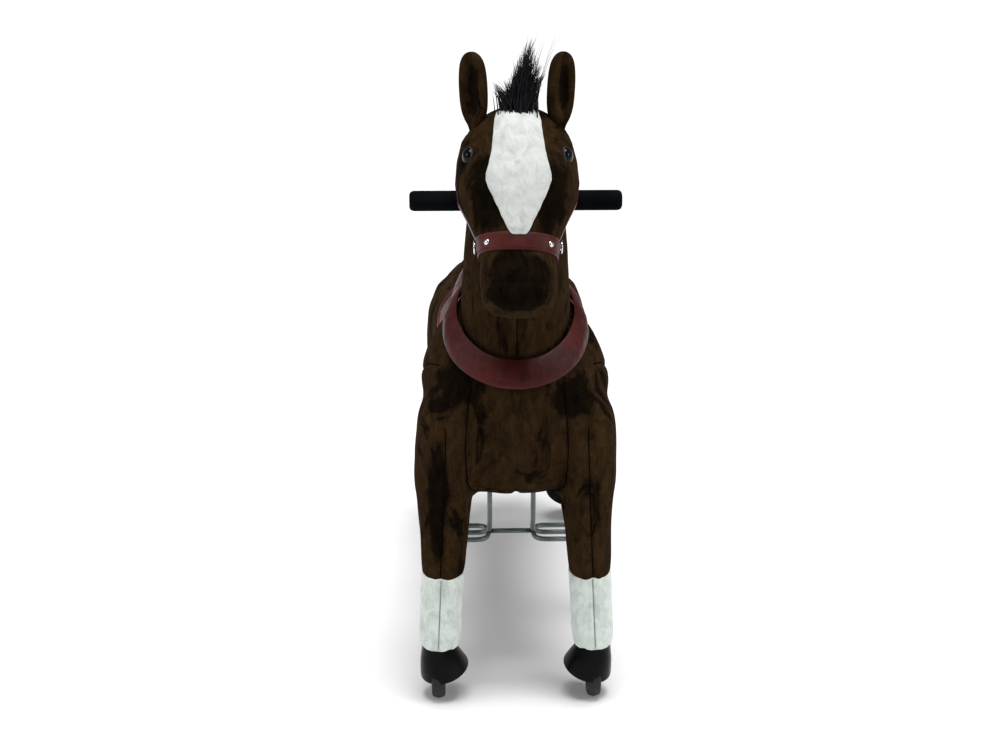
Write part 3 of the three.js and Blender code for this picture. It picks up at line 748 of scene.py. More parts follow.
def neck_ring(radius, offset):
    """A ring round the steering axis, at an offset from the collar's line."""
    angle = np.arange(NECK_SIDES) * 2 * math.pi / NECK_SIDES
    x = radius * np.sin(angle)
    y = STEER.y / MM - radius * np.cos(angle)
    return np.stack([x, y, collar_height(angle) + offset], axis=1) * MM


# The shoulders below the collar: half width, half depth, how far back, and how far below the collar's line.
SHOULDERS = ((130, 84, 16, 118), (138, 96, 14, 92), (132, 102, 8, 62), (119, 102, 4, 38))


def neck_root():
    """The shoulders, rising into the collar."""
    angle = np.arange(NECK_SIDES) * 2 * math.pi / NECK_SIDES
    rings = []
    for wide, deep, shift, drop in SHOULDERS:
        ring_points = neck_ring(0, -drop)
        ring_points[:, 0] = wide * np.sin(angle) * MM
        ring_points[:, 1] = STEER.y + (shift - deep * np.cos(angle)) * MM
        rings.append(ring_points)
    return loft("neck_root", rings + [neck_ring(98, -20), neck_ring(90, 2)])


def leg_loft(name, sections, side):
    """One leg above its sock, as a stack of rings."""
    rings = []
    for z, x, y, wide, deep in sections:
        centre = np.array((side * x, y, z)) * MM
        rings.append(ring(centre, (wide * MM, 0, 0), (0, deep * MM, 0), 2.2))
    return loft(name, rings)


def body_skin():
    """The barrel, shoulders and legs melted into one stuffed skin."""
    barrel = []
    for y, half, low, widest, high in BARREL:
        above = ring((0, y * MM, widest * MM), (half * MM, 0, 0), (0, 0, (high - widest) * MM), 2.1, 64)
        below = ring((0, y * MM, widest * MM), (half * MM, 0, 0), (0, 0, (widest - low) * MM), 2.4, 64)
        barrel.append(np.where(above[:, 2:] > widest * MM, above, below))
    pieces = [loft("barrel", barrel), neck_root()]
    for side in (1, -1):
        pieces.append(leg_loft("front_leg", FRONT_LEG, side))
        pieces.append(leg_loft("rear_leg", REAR_LEG, side))
    return melt("body", pieces, 6 * MM, 9)


def leg_x(co, end):
    """Where a leg's own line lies across, at each point's height."""
    top, low = LEG_TOP[end], ANKLE[end]
    t = np.clip((top.z - co[:, 2]) / (top.z - low.z), 0, 1)
    return top.x + (low.x - top.x) * t


HAUNCH = (0.262, 0.405)  # y and z of the middle of the seam round the haunch
SHOULDER = (-0.285, 0.40)  # the same for the shoulder's seam


def chest_x(z):
    """How far out the chest panel's seam runs at a height."""
    return 0.0655 + 0.007 * np.sin((z - 0.30) * 17)


def sew_body(obj):
    """Seams, stuffing lumps and soft folds on the body's skin."""
    co, normals = points_of(obj), normals_of(obj)
    x, y, z = np.abs(co[:, 0]), co[:, 1], co[:, 2]
    front = (y < -0.2) & (normals[:, 1] < -0.05)
    seams = np.zeros(len(co))
    seams = np.maximum(seams, groove(x - chest_x(z), 4 * MM) * (front & (z > 0.296) & (z < 0.50)))
    for end, pivot in (("front", FRONT_PIVOT), ("rear", REAR_PIVOT)):
        near = (np.abs(y - pivot.y) < 0.12) & (z < 0.33)
        facing = np.abs(normals[:, 1]) > 0.3
        seams = np.maximum(seams, groove(x - leg_x(co, end) - 3 * MM, 3.5 * MM) * (near & facing))
    haunch = np.hypot((y - HAUNCH[0]) * 0.92, z - HAUNCH[1])
    shoulder = np.hypot(y - SHOULDER[0], (z - SHOULDER[1]) * 0.85)
    side = x > 0.075
    seams = np.maximum(seams, groove(haunch - 0.108, 4 * MM) * (side & (z > 0.31)))
    seams = np.maximum(seams, groove(shoulder - 0.088, 4 * MM) * (side & (z > 0.31) & (y > -0.30)) * 0.8)
    spine = (normals[:, 2] > 0.2) & (z > 0.44) & (y > -0.1)
    seams = np.maximum(seams, groove(co[:, 0], 3.5 * MM) * spine)
    belly = (normals[:, 2] < -0.6) & (z < 0.34) & (np.abs(y) < 0.36)
    seams = np.maximum(seams, groove(co[:, 0], 3.5 * MM) * belly)
    lumps = smooth_noise(co, 11, 1) * 2.2 * MM + smooth_noise(co, 26, 2) * 0.9 * MM
    folds = smooth_noise(co * (1.6, 1.6, 0.7), 38, 3) * 0.7 * MM
    push = lumps + folds - seams * 4.2 * MM
    set_points(obj, co + normals * push[:, None])


def belly_pocket(obj):
    """The slot under the belly that the footrest's rods and links work in."""
    rod_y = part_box("footrest")[0].y + 5 * MM
    cutters = []
    for half, start, end in ((0.019, -0.205, 0.135), (0.045, rod_y - 12 * MM, rod_y + 12 * MM)):
        outline = rounded_box((start + end) / 2, 2 * half, end - start)
        cutters.append(loft("slot", [[(px, py, pz) for px, py in outline] for pz in (0.27, 0.415)]))
    cutter = melt("pocket", cutters, 3 * MM, 2, False)
    boolean = obj.modifiers.new("pocket", "BOOLEAN")
    boolean.operation = "DIFFERENCE"
    boolean.solver = "EXACT"
    boolean.object = cutter
    bake(obj)
    bpy.data.objects.remove(cutter)


def rounded_box(cy, width, depth, radius=0.009, steps=6):
    """A rectangle's outline about x = 0 with rounded corners."""
    points = []
    for sx, sy, start in ((1, 1, 0), (-1, 1, 90), (-1, -1, 180), (1, -1, 270)):
        for i in range(steps + 1):
            angle = math.radians(start + 90 * i / steps)
            px = sx * (width / 2 - radius) + radius * math.cos(angle)
            py = cy + sy * (depth / 2 - radius) + radius * math.sin(angle)
            points.append((px, py))
    return points


def split_at(obj, name, plane_y, keep_front):
    """A copy of obj on one side of a plane across the body, closed at the plane."""
    copy = linked(name, obj.data.copy())
    bm = bmesh.new()
    bm.from_mesh(copy.data)
    cut = bmesh.ops.bisect_plane(
        bm,
        geom=list(bm.verts) + list(bm.edges) + list(bm.faces),
        plane_co=(0, plane_y, 0),
        plane_no=(0, 1, 0),
        clear_outer=keep_front,
        clear_inner=not keep_front,
    )
    edges = [e for e in cut["geom_cut"] if isinstance(e, bmesh.types.BMEdge)]
    bmesh.ops.holes_fill(bm, edges=edges, sides=0)
    bm.to_mesh(copy.data)
    bm.free()
    return copy


def blend_leg(piece):
    """Bakes a piece's placement into its mesh."""
    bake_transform(piece)


def make_body():
    """The body's plush in two skins that meet under the saddle; returns the whole skin's tree."""
    skin = body_skin()
    sew_body(skin)
    tree = surface_of(skin)
    belly_pocket(skin)
    for end, nodes in (("front", ("torso_plush",)), ("rear", ())):
        piece = split_at(skin, end + "_body_plush", SPLIT_Y, end == "front")
        nodes += tuple(f"{end}_leg_plush_{label}" for _, label in SIDES)
        finish(piece, "plush", None, nodes)
        blend_leg(piece)
    bpy.data.objects.remove(skin)
    return tree


SEAM_LINE_R = 0.9 * MM


def seam_line(tree, name, points, direction, body=None, material="seam"):
    """A thin dark line laid in a seam, partly its stitching and partly painted shade of the seam's groove:
    points outside the skin are cast onto it.
    """
    path = [cast(tree, point, direction)[0] for point in points]
    return finish(tube(name, path, SEAM_LINE_R, 6), material, body)


def leg_seam(end, side, low, high, count, start, off):
    """Points out in front of a leg, or behind it, that run down its own line."""
    points = []
    for z in np.linspace(high, low, count):
        x = leg_x(np.array(((0, 0, z),)), end)[0] + off
        points.append((side * x, start, z))
    return points


def make_body_seams(tree):
    """Dark lines in the seams of the chest panel, legs, shoulders, haunches and rump: partly stitching,
    partly painted shade.
    """
    panel = [(chest_x(z), z) for z in np.linspace(0.485, 0.345, 26)]
    turn = np.linspace(0.2, 1.5, 7)
    half = panel + [(0.046 + 0.024 * math.cos(a), 0.345 - 0.024 * math.sin(a)) for a in turn]
    outline = [(x, -1, z) for x, z in half] + [(-x, -1, z) for x, z in reversed(half)]
    seam_line(tree, "chest_seam", outline, (0, 1, 0), "frame")
    arcs = (  # name, middle, half length, half height, first and last angle, points
        ("haunch", HAUNCH, 0.117, 0.108, -0.9, 3.9, 60),
        ("shoulder", SHOULDER, 0.088, 0.103, -1.0, 1.5, 36),
    )
    for side, label in SIDES:
        for name, (y, z), length, height, first, last, count in arcs:
            angles = np.linspace(first, last, count)
            arc = [(side, y + length * math.cos(a), z + height * math.sin(a)) for a in angles]
            seam_line(tree, f"{name}_seam_{label}", arc, (-side, 0, 0), "frame")
        for end, start in (("front", -1), ("rear", 1)):
            points = leg_seam(end, side, HEM_Z + 1.5 * MM, 0.43, 40, start, 3 * MM)
            blend_leg(seam_line(tree, f"{end}_leg_seam_{label}", points, (0, -start, 0)))
    rump = [(0, y, 1) for y in np.linspace(0.15, 0.345, 30)]
    seam_line(tree, "rump_seam", rump, (0, 0, -1), "frame")


def make_socks():
    """White pile socks, each with a front seam, tucked over the hoof."""
    for end in ("front", "rear"):
        rings = []
        shape = [
            (SOCK_LOW_Z / MM + 1, 24.5, 25.5),
            (SOCK_LOW_Z / MM - 1, 27, 28.4),
            (SOCK_LOW_Z / MM + 4, 29, 30.6),
            (112, 30, 32),
            (135, 30.4, 33.2),
            (160, 30.6, 34),
            (185, 30.8, 35.4),
            (HEM_Z / MM + 1, 30.4, 35.2),
            (HEM_Z / MM + 3, 27, 31),
        ]
        for z, wide, deep in resample(shape, 60):
            centre = on_leg(end, z * MM)
            rings.append(ring(centre, (wide * MM, 0, 0), (0, deep * MM, 0), 2.1, 190))
        sock = loft(end + "_sock_pile_left", rings)
        co, normals = points_of(sock), normals_of(sock)
        tufts = smooth_noise(co * (1, 1, 0.45), 210, 4) * 0.9 + smooth_noise(co * (1, 1, 0.5), 95, 5)
        seam = groove(np.abs(co[:, 0]) - leg_x(co, end) - 2 * MM, 1.5 * MM) * (normals[:, 1] < -0.3)
        push = (tufts * 0.7 - seam * 3.4) * MM
        set_points(sock, co + normals * push[:, None])
        right = mirrored(sock, end + "_sock_pile_right")
        for piece, (side, label) in zip((sock, right), SIDES):
            finish(piece, "sock", end + "_legs", (f"{end}_sock_{label}",))
            if end == "front":
                # A grey line down the sock's front seam: partly stitching, partly painted shade of its
                # groove.
                points = leg_seam(end, side, HEM_Z - MM, SOCK_LOW_Z + 3 * MM, 36, -1, 2 * MM)
                skin = surface_of(piece)
                seam_line(skin, "sock_seam_" + label, points, (0, 1, 0), "front_legs", "sock_seam")


# ---- Head and neck ----
HEAD_BACK = np.array((0, -280.4, 834)) * MM
HEAD_AXIS = np.array((0, -150, -260.0))
HEAD_AXIS /= np.linalg.norm(HEAD_AXIS)
HEAD_UP = np.array((0, HEAD_AXIS[2], -HEAD_AXIS[1]))  # square to the face's line, out of the forehead
# Along the face, in mm: distance, half width, half depth, push out of the line, squareness.
FACE = [
    (-36, 14, 12, 0, 2.0),
    (-30, 38, 32, 0, 2.0),
    (-14, 60, 47, 0, 2.05),
    (10, 74, 57, 0, 2.1),
    (38, 80.5, 62, 0, 2.15),
    (70, 83, 63, 0, 2.2),
    (98, 79, 59, 0, 2.2),
    (124, 66, 52, -1, 2.3),
    (149, 55, 48, -2, 2.4),
    (175, 51.5, 47, -2, 2.6),
    (210, 52, 47, -3, 2.7),
    (233, 50.5, 44, -4, 2.6),
    (247, 40, 36, -5, 2.3),
    (253, 24, 21, -6, 2.0),
]
NECK = [
    (470, -252, 66, 66),
    (500, -252, 74, 74),
    (548, -252, 77, 77),
    (600, -256, 78, 76),
    (660, -262, 74, 73),
    (720, -268, 69, 69),
    (780, -274, 67, 63),
    (828, -276, 62, 54),
    (850, -278, 50, 42),
    (862, -280, 22, 18),
]
NOSEBAND = 163  # mm along the face to the middle of the nose band


def face_point(along, across, up):
    """A point from distances along the face, across it and out of it, in mm."""
    return HEAD_BACK + HEAD_AXIS * along * MM + np.array((across * MM, 0, 0)) + HEAD_UP * up * MM


def make_head():
    """The stuffed head and neck with their seams, mouth, nostrils and brows; returns the skin's tree."""
    face = []
    for along, half, deep, push, power in FACE:
        face.append(ring(face_point(along, 0, push), (half * MM, 0, 0), HEAD_UP * deep * MM, power, 64))
    neck = []
    for z, y, half, deep in NECK:
        neck.append(ring(np.array((0, y, z)) * MM, (half * MM, 0, 0), (0, deep * MM, 0), 2.1, 64))
    head = melt("head_plush", [loft("face", face), loft("neck", neck)], 5 * MM, 5)
    co, normals = points_of(head), normals_of(head)
    along = (co - HEAD_BACK) @ HEAD_AXIS / MM
    up = (co - HEAD_BACK) @ HEAD_UP / MM
    side = np.abs(co[:, 0]) / MM
    throat = (normals[:, 1] < -0.2) & (co[:, 2] < 0.64) & (up < -20)
    crest = (normals[:, 1] > 0.3) & (co[:, 2] > 0.56)
    seams = groove(co[:, 0], 3 * MM) * (throat | crest)
    mouth = (along > 192) & (side < 60)
    seams = np.maximum(seams, groove((up + 20 + 0.004 * side**2) * MM, 2.6 * MM) * mouth * 1.3)
    seams = np.maximum(seams, groove((along - 218) * MM, 2.6 * MM) * (up > -12) * 0.55)
    brow = groove(np.hypot(along - 36, (up - 34) * 1.1) * MM - 15 * MM, 2.6 * MM)
    seams = np.maximum(seams, brow * (side > 45) * (along < 38) * 0.9)
    lid = groove((up - 36 - (36 - along) * 0.5) * MM, 2.6 * MM) * (along < 26) * (along > -10) * (side > 40)
    seams = np.maximum(seams, lid * 0.8)
    push = -seams * 2.3 * MM
    nostril = np.hypot((side - 31) / 9, (up - 6) / 13)
    push -= np.exp(-(nostril**2) * 1.3) * 6.0 * MM * (along > 216)
    push -= np.exp(-((np.hypot(along - 40, up - 34) / 17) ** 2)) * 3.0 * MM * (side > 45)
    push += smooth_noise(co, 14, 6) * 1.4 * MM + smooth_noise(co, 34, 7) * 0.6 * MM
    set_points(head, co + normals * push[:, None])
    tree = surface_of(head)
    finish(head, "face_plush", "steering", ("neck_head_plush",))
    # A dark line down the throat seam: partly stitching, partly painted shade of its groove.
    throat_line = [(0, -1, z) for z in np.linspace(0.60, 0.535, 16)]
    seam_line(tree, "neck_seam", throat_line, (0, 1, 0), "steering")
    return tree


# The blaze's outline: distance down the face and half width, in mm.
BLAZE = [
    (-16, 26), (-2, 29), (18, 31), (42, 33.5), (60, 37.5),
    (74, 41.5), (82, 42), (93, 38.5), (122, 24.5), (154, 9),
]


def blaze_half(along):
    """Half the white blaze's width at a distance down the face."""
    return float(np.interp(along, [row[0] for row in BLAZE], [row[1] for row in BLAZE]))


def make_blaze(tree):
    """The white pile down the face, puffed between its sewn edges."""
    rows, columns = 110, 70
    verts = []
    for i in range(rows):
        along = BLAZE[0][0] + (BLAZE[-1][0] - BLAZE[0][0]) * i / (rows - 1)
        half = blaze_half(along)
        for j in range(columns):
            u = 2 * j / (columns - 1) - 1
            origin = face_point(along, half * u, 140)
            hit, normal = cast(tree, origin, -HEAD_UP)
            puff = 2.6 * (1 - abs(u) ** 4) * min(1, (rows - 1 - i) / 6) * min(1, i / 4 + 0.2) + 0.5
            verts.append(hit + normal * puff * MM)
    blaze = mesh_object("blaze_pile", verts, grid_faces(rows, columns))
    co, normals = points_of(blaze), normals_of(blaze)
    tufts = smooth_noise(co * (1, 0.6, 0.6), 230, 8) * 0.5 + smooth_noise(co * (1, 0.6, 0.6), 90, 9) * 0.6
    set_points(blaze, co + normals * tufts[:, None] * MM)
    thicken(blaze, 3.2 * MM)
    face_outwards(blaze)
    finish(blaze, "white", "steering", ("face_blaze",))


def strap_profile(v, crown=0.8):
    """How far a strap stands off its middle across its width, v from -1 to 1."""
    return crown * (1 - v**4)


def face_section(along):
    """The face's half width, half depth and push at a distance along it, in mm."""
    places = [row[0] for row in FACE]
    return [float(np.interp(along, places, [row[k] for row in FACE])) for k in (1, 2, 3)]


def on_face(along, angle, lift):
    """A point of the face's section at an angle from its front, lifted off it, and the way out."""
    half, deep, push = face_section(along)
    s, c = math.sin(angle), math.cos(angle)
    x = (half + lift) * math.copysign(abs(s) ** (2 / 2.4), s)
    up = (deep + lift) * math.copysign(abs(c) ** (2 / 2.4), c)
    out = np.array((s, 0, 0)) + HEAD_UP * c
    return face_point(along, x, up + push), out


def make_noseband():
    """The nose band: a strap over the muzzle, whose ends run into the corner under the jaw."""
    around, across = 120, 13
    verts, outs = [], []
    for j in range(across):
        v = 2 * j / (across - 1) - 1
        for i in range(around):
            angle = math.radians(118) * (2 * i / (around - 1) - 1)
            along = NOSEBAND + 12.5 * v + 2.5 * math.sin(angle)
            point, out = on_face(along, angle, 2.4 + strap_profile(v, 0.6))
            verts.append(point)
            outs.append(out)
    band = mesh_object("noseband_leather", verts, grid_faces(across, around))
    middle = (across // 2) * around + around // 2
    face_along(band, middle, outs[middle])
    outer = np.array(verts).reshape(across, around, 3)
    thicken(band, 2.4 * MM, 0.7 * MM)
    finish(band, "leather", "steering", ("noseband",))
    stitches(outer, "noseband_stitching", "steering")
    return outer


def stitches(grid, name, body, rows=(2, -3), radius=0.45):
    """Short raised stitches along rows of a grid of points."""
    pieces = []
    for row in rows:
        line = grid[row]
        for i in range(0, len(line) - 1, 3):
            a = line[i]
            span = line[i + 1] - a
            out = a - grid.reshape(-1, 3).mean(axis=0)
            out = out / np.linalg.norm(out) * 0.15 * MM
            ends = [a + span * t + out * k for t, k in ((0.0, -1), (0.25, 2), (1.0, 2), (1.3, -1))]
            pieces.append(tube("stitch", ends, radius * MM, 5))
    sewn = join(name, pieces)
    smooth_shaded(sewn.data)
    finish(sewn, "thread", body)


def make_cheek_straps():
    """The bridle strap up each cheek, and its ring at the nose band."""
    length, across = 44, 9
    for side, label in SIDES:
        verts = []
        for i in range(length):
            t = i / (length - 1)
            for j in range(across):
                v = 2 * j / (across - 1) - 1
                angle = side * math.radians(96 + 9 * v + 4 * t)
                point, _ = on_face(NOSEBAND - 4 - 160 * t, angle, 1.6 + strap_profile(v, 0.4))
                verts.append(point)
        strap = mesh_object("cheek_strap_leather_" + label, verts, grid_faces(length, across))
        face_along(strap, length // 2 * across + across // 2, (side, 0, 0))
        thicken(strap, 1.9 * MM, 0.5 * MM)
        finish(strap, "leather", "steering", ("cheek_strap_" + label,))
        centre, out = on_face(NOSEBAND - 6, side * math.radians(94), 4.6)
        fitting(centre, out, "bridle_ring_" + label)


def fitting(place, normal, name):
    """A steel ring over a strap's end."""
    circle = ring((0, 0, 0), (8.5 * MM, 0, 0), (0, 8.5 * MM, 0), sides=40)
    loop = tube(name, circle, 1.5 * MM, 10, True)
    loop.data.transform(set_on(place, normal))
    finish(loop, "chrome", "steering")


def make_rivets(band):
    """Domed rivets on the nose band, near the corners of the face."""
    across, around, _ = band.shape
    middle = band[across // 2]
    profile = [(0, -1), (4.2, -1), (4.4, 0.2), (4.0, 0.9), (3.1, 1.7), (1.8, 2.3), (0, 2.5)]
    for side, label in SIDES:
        centre = middle[int(round((0.5 + 0.2 * side) * (around - 1)))]
        out = centre - face_point(NOSEBAND, 0, -3)
        out /= np.linalg.norm(out)
        rivet = lathe("rivet_" + label, profile, set_on(centre, out), 32)
        finish(rivet, "chrome", "steering")


def make_eyes(tree):
    """Glossy domed eyes in a thin dark rim."""
    radius, height, sunk = 11.4, 7.6, -4
    dome = [(0, sunk), (radius, sunk)]
    for angle in np.radians(np.linspace(0, 90, 13)[:-1]):
        dome.append((radius * math.cos(angle), height * math.sin(angle)))
    dome.append((0, height))
    rim = [(11.2, -2.5), (12.1, -2.5), (12.3, 0.0), (12.0, 0.9), (11.6, 1.2), (11.1, 0.6)]
    for side, label in SIDES:
        inwards = np.array((-side, 0, 0)) * 0.86 - HEAD_UP * 0.5
        hit, normal = cast(tree, face_point(40, side * 120, 62), inwards)
        outward = normal + np.array((side * 0.7, 0, 0))
        place = set_on(hit - normal * MM, outward)
        finish(lathe("eye_dome_" + label, dome, place, 48), "eye", "steering", ("eye_" + label,))
        finish(lathe("eye_rim_" + label, rim, place, 48), "rim", "steering")


EAR_ROOT = np.array((57, -297, 846)) * MM
EAR_TIP = np.array((61, -300, 949.5)) * MM


def make_ears():
    """Cupped plush ears, open to the front and a little outwards."""
    shape = [
        (-0.06, 7, 8, 0),
        (0.04, 10, 9, 0),
        (0.12, 14.5, 10, 1),
        (0.24, 18.6, 10.5, 3.5),
        (0.42, 20.4, 10.5, 5),
        (0.66, 20.2, 10, 5),
        (0.84, 17.8, 8.5, 3.5),
        (0.94, 13, 6.5, 1.5),
        (0.985, 7.5, 4.5, 0.5),
        (1.0, 3.2, 2.6, 0),
    ]
    turn = math.radians(22)
    angle = np.arange(56) * 2 * math.pi / 56
    rings = []
    for t, wide, deep, cup in resample(shape, 40):
        centre = EAR_ROOT + (EAR_TIP - EAR_ROOT) * t
        x = wide * np.cos(angle)
        y = deep * np.sin(angle)
        hollow = np.exp(-(((x - 3) / (wide * 0.42)) ** 2)) * (np.sin(angle) < 0)
        y = y + hollow * (cup + deep * 0.55) * np.abs(np.sin(angle)) ** 0.5
        across = x * math.cos(turn) - y * math.sin(turn)
        back = x * math.sin(turn) + y * math.cos(turn)
        rings.append(centre + np.stack([across, back, 0 * x], 1) * MM)
    ear = loft("ear_plush_left", rings)
    soften = ear.modifiers.new("smooth", "SMOOTH")
    soften.iterations = 3
    bake(ear)
    right = mirrored(ear, "ear_plush_right")
    for piece, (_, label) in zip((ear, right), SIDES):
        finish(piece, "face_plush", "steering", ("ear_" + label,))


# ---- Hair ----
def strands(name, roots, body, slot_nodes, seed, sides=3, segments=7):
    """Many tapered strands; each root gives a start, a first direction, a bend, a length and a thickness."""
    rng = random.Random(seed)
    verts, faces = [], []
    for start, direction, bend, length, thick in roots:
        point = Vector(start)
        heading = Vector(direction).normalized()
        first = len(verts)
        wander = Vector((rng.uniform(-1, 1), rng.uniform(-1, 1), rng.uniform(-1, 1))) * 0.10
        for k in range(segments):
            t = k / (segments - 1)
            radius = thick * (1 - 0.93 * t**1.6)
            u = heading.orthogonal().normalized()
            v = heading.cross(u)
            for s in range(sides):
                angle = 2 * math.pi * s / sides
                verts.append(point + (u * math.cos(angle) + v * math.sin(angle)) * radius)
            point = point + heading * (length / (segments - 1))
            heading = (heading + (Vector(bend) + wander) / (segments - 1)).normalized()
        for k in range(segments - 1):
            for s in range(sides):
                a = first + k * sides + s
                b = first + k * sides + (s + 1) % sides
                faces.append((a, b, b + sides, a + sides))
        faces.append(tuple(first + s for s in reversed(range(sides))))
        faces.append(tuple(first + (segments - 1) * sides + s for s in range(sides)))
    obj = mesh_object(name, verts, faces)
    finish(obj, "hair", body, slot_nodes)


# The tips of the forelock's clumps: x and z in mm.
TUFTS = [
    (-34, 911), (-27, 903), (-17, 912), (-9, 919), (-3, 932), (3, 944), (9, 953), (13, 965),
    (19, 958), (24, 968), (28, 946), (33, 938), (38, 926), (6, 928), (17, 938), (-13, 900),
]


def make_forelock():
    """A spiky tuft of clumped strands, leaning a little to the horse's left."""
    rng = random.Random(5)
    roots = []
    for tip_x, tip_z in TUFTS:
        for _ in range(46):
            root_x = rng.gauss(tip_x * 0.32, 6.0)
            start = Vector((root_x, -309 + rng.uniform(-15, 15), 864 + rng.uniform(-3, 3)))
            tip = Vector((tip_x + rng.gauss(0, 1.6), -306 + rng.gauss(0, 4), tip_z + rng.gauss(0, 5)))
            reach = tip - start
            bow = Vector((-0.25 * reach.x / 30, rng.gauss(0, 0.1), 0.25))
            lean = reach / reach.length + bow
            length = reach.length * rng.uniform(0.72, 1.0) * MM
            roots.append((start * MM, lean, -bow * 2, length, rng.uniform(0.6, 1.25) * MM))
    for tip_x, tip_z in ((48, 977), (31, 972), (12, 974)):
        start = Vector((tip_x * 0.45, -303, 872))
        reach = Vector((tip_x, -300, tip_z)) - start
        for _ in range(3):
            wisp = reach + Vector((rng.gauss(0, 2), rng.gauss(0, 2), 0))
            roots.append((start * MM, wisp, (0.15, 0, 0), reach.length * MM, 0.5 * MM))
    strands("forelock_hair", roots, "steering", ("forelock",), 6)


# The mane's line down the neck: z and y in mm.
CREST = [(868, -268), (857, -250), (836, -236), (790, -217), (715, -200), (665, -190), (630, -183)]


def make_mane():
    """A standing crest from the poll down the back of the neck."""
    rng = random.Random(9)
    rows = resample(CREST, 200)
    roots = []
    for _ in range(2100):
        i = rng.randrange(len(rows) - 1)
        z, y = rows[i]
        tangent = rows[min(i + 3, len(rows) - 1)] - rows[max(i - 3, 0)]
        out = Vector((0, -tangent[0], tangent[1])).normalized()
        if out.y < 0:
            out.negate()
        x = rng.gauss(0, 5)
        place = (x * MM, (y - 3 + rng.uniform(-2, 2)) * MM, (z + rng.uniform(-2, 2)) * MM)
        fade = 0.55 + 0.45 * math.sin(math.pi * min(max(i / len(rows), 0.06), 0.96))
        lean = out + Vector((x * 0.035 + rng.gauss(0, 0.07), rng.gauss(0, 0.08), 0.55 + rng.gauss(0, 0.15)))
        bend = (rng.gauss(0, 0.15), 0.15, -0.5)
        roots.append((place, lean, bend, rng.uniform(30, 46) * fade * MM, rng.uniform(0.55, 1.1) * MM))
    strands("mane_hair", roots, "steering", ("mane",), 10, segments=6)


def make_tail():
    """A full tail that falls from a short dock."""
    rng = random.Random(12)
    dock = [(0, 350, 468), (0, 370, 473), (0, 386, 460), (0, 394, 440), (0, 397, 415)]
    path = resample(dock, 40)
    roots = []
    for _ in range(1500):
        t = rng.random() ** 0.8
        at = path[int(t * (len(path) - 1))]
        angle = rng.uniform(0, 2 * math.pi)
        off = rng.uniform(2, 9)
        start = (
            (at[0] + math.cos(angle) * off) * MM,
            (at[1] + math.sin(angle) * off * 0.7) * MM,
            (at[2] + rng.uniform(-3, 3)) * MM,
        )
        back = 0.35 * (1 - t)
        lean = (math.cos(angle) * 0.3, back + math.sin(angle) * 0.18, -0.3 - t)
        bend = (-math.cos(angle) * 0.22 + rng.gauss(0, 0.08), -back * 0.9 + rng.gauss(0, 0.05), -1.3)
        length = (at[2] - rng.uniform(238, 330)) * 1.02
        roots.append((start, lean, bend, length * MM, rng.uniform(0.6, 1.15) * MM))
    strands("tail_hair", roots, "frame", ("tail",), 13, segments=9)
    core = tube("tail_dock", path[:-6] * MM, 7.5 * MM, 16)
    finish(core, "hair", "frame")


# ---- Leather on the body ----
def make_collar():
    """The leather scarf round the root of the neck, creased where it bends."""
    around, across = 220, 26
    verts = []
    for j in range(across):
        v = j / (across - 1)
        for i in range(around):
            angle = 2 * math.pi * i / around
            radius = 84.5 + 19.5 * v + 5.5 * math.sin(math.pi * v) ** 0.8
            height = collar_height(angle) + 21 - 37 * v
            verts.append((radius * math.sin(angle), STEER.y / MM - radius * math.cos(angle), height))
    grid = (np.array(verts) * MM).reshape(across, around, 3)
    centre = np.array((0, STEER.y, 0.54))
    out = grid - centre
    out[:, :, 2] *= 0.4
    out /= np.linalg.norm(out, axis=2, keepdims=True)
    angle = np.arange(around) * 2 * math.pi / around
    v = np.linspace(0, 1, across)[:, None]
    flat = np.stack([np.cos(angle) * 1.3, np.sin(angle) * 1.3, angle * 0], 1)
    wave = np.zeros((across, around))
    for k, (seed, strength) in enumerate(((21, 1.6), (22, 0.9), (23, 0.5))):
        scale = 5.0 * 1.9**k
        for j in range(across):
            lean = flat * scale + np.array((0, 0, v[j, 0] * (1.2 + k)))
            wave[j] += smooth_noise(lean, 1.0, seed) * strength
    ridge = np.abs(wave) - 0.7
    full = np.sin(math.pi * np.clip(v, 0.02, 0.98)) ** 0.5
    grid = grid + out * ((ridge * 1.1 + 0.8) * full)[:, :, None] * MM
    collar = mesh_object("collar_leather", grid.reshape(-1, 3), grid_faces(across, around, True))
    face_outwards(collar)
    face_along(collar, across // 2 * around, out[across // 2, 0])
    thicken(collar, 3.0 * MM, 0.8 * MM)
    finish(collar, "leather", "frame", ("neck_collar",))


def skin_point(tree, y, angle, centre_z=0.42, reach=0.4):
    """A point on the body's skin at a distance along it and an angle from straight up."""
    out = np.array((math.sin(angle), 0, math.cos(angle)))
    origin = np.array((0, y, centre_z)) + out * reach
    return cast(tree, origin, -out)


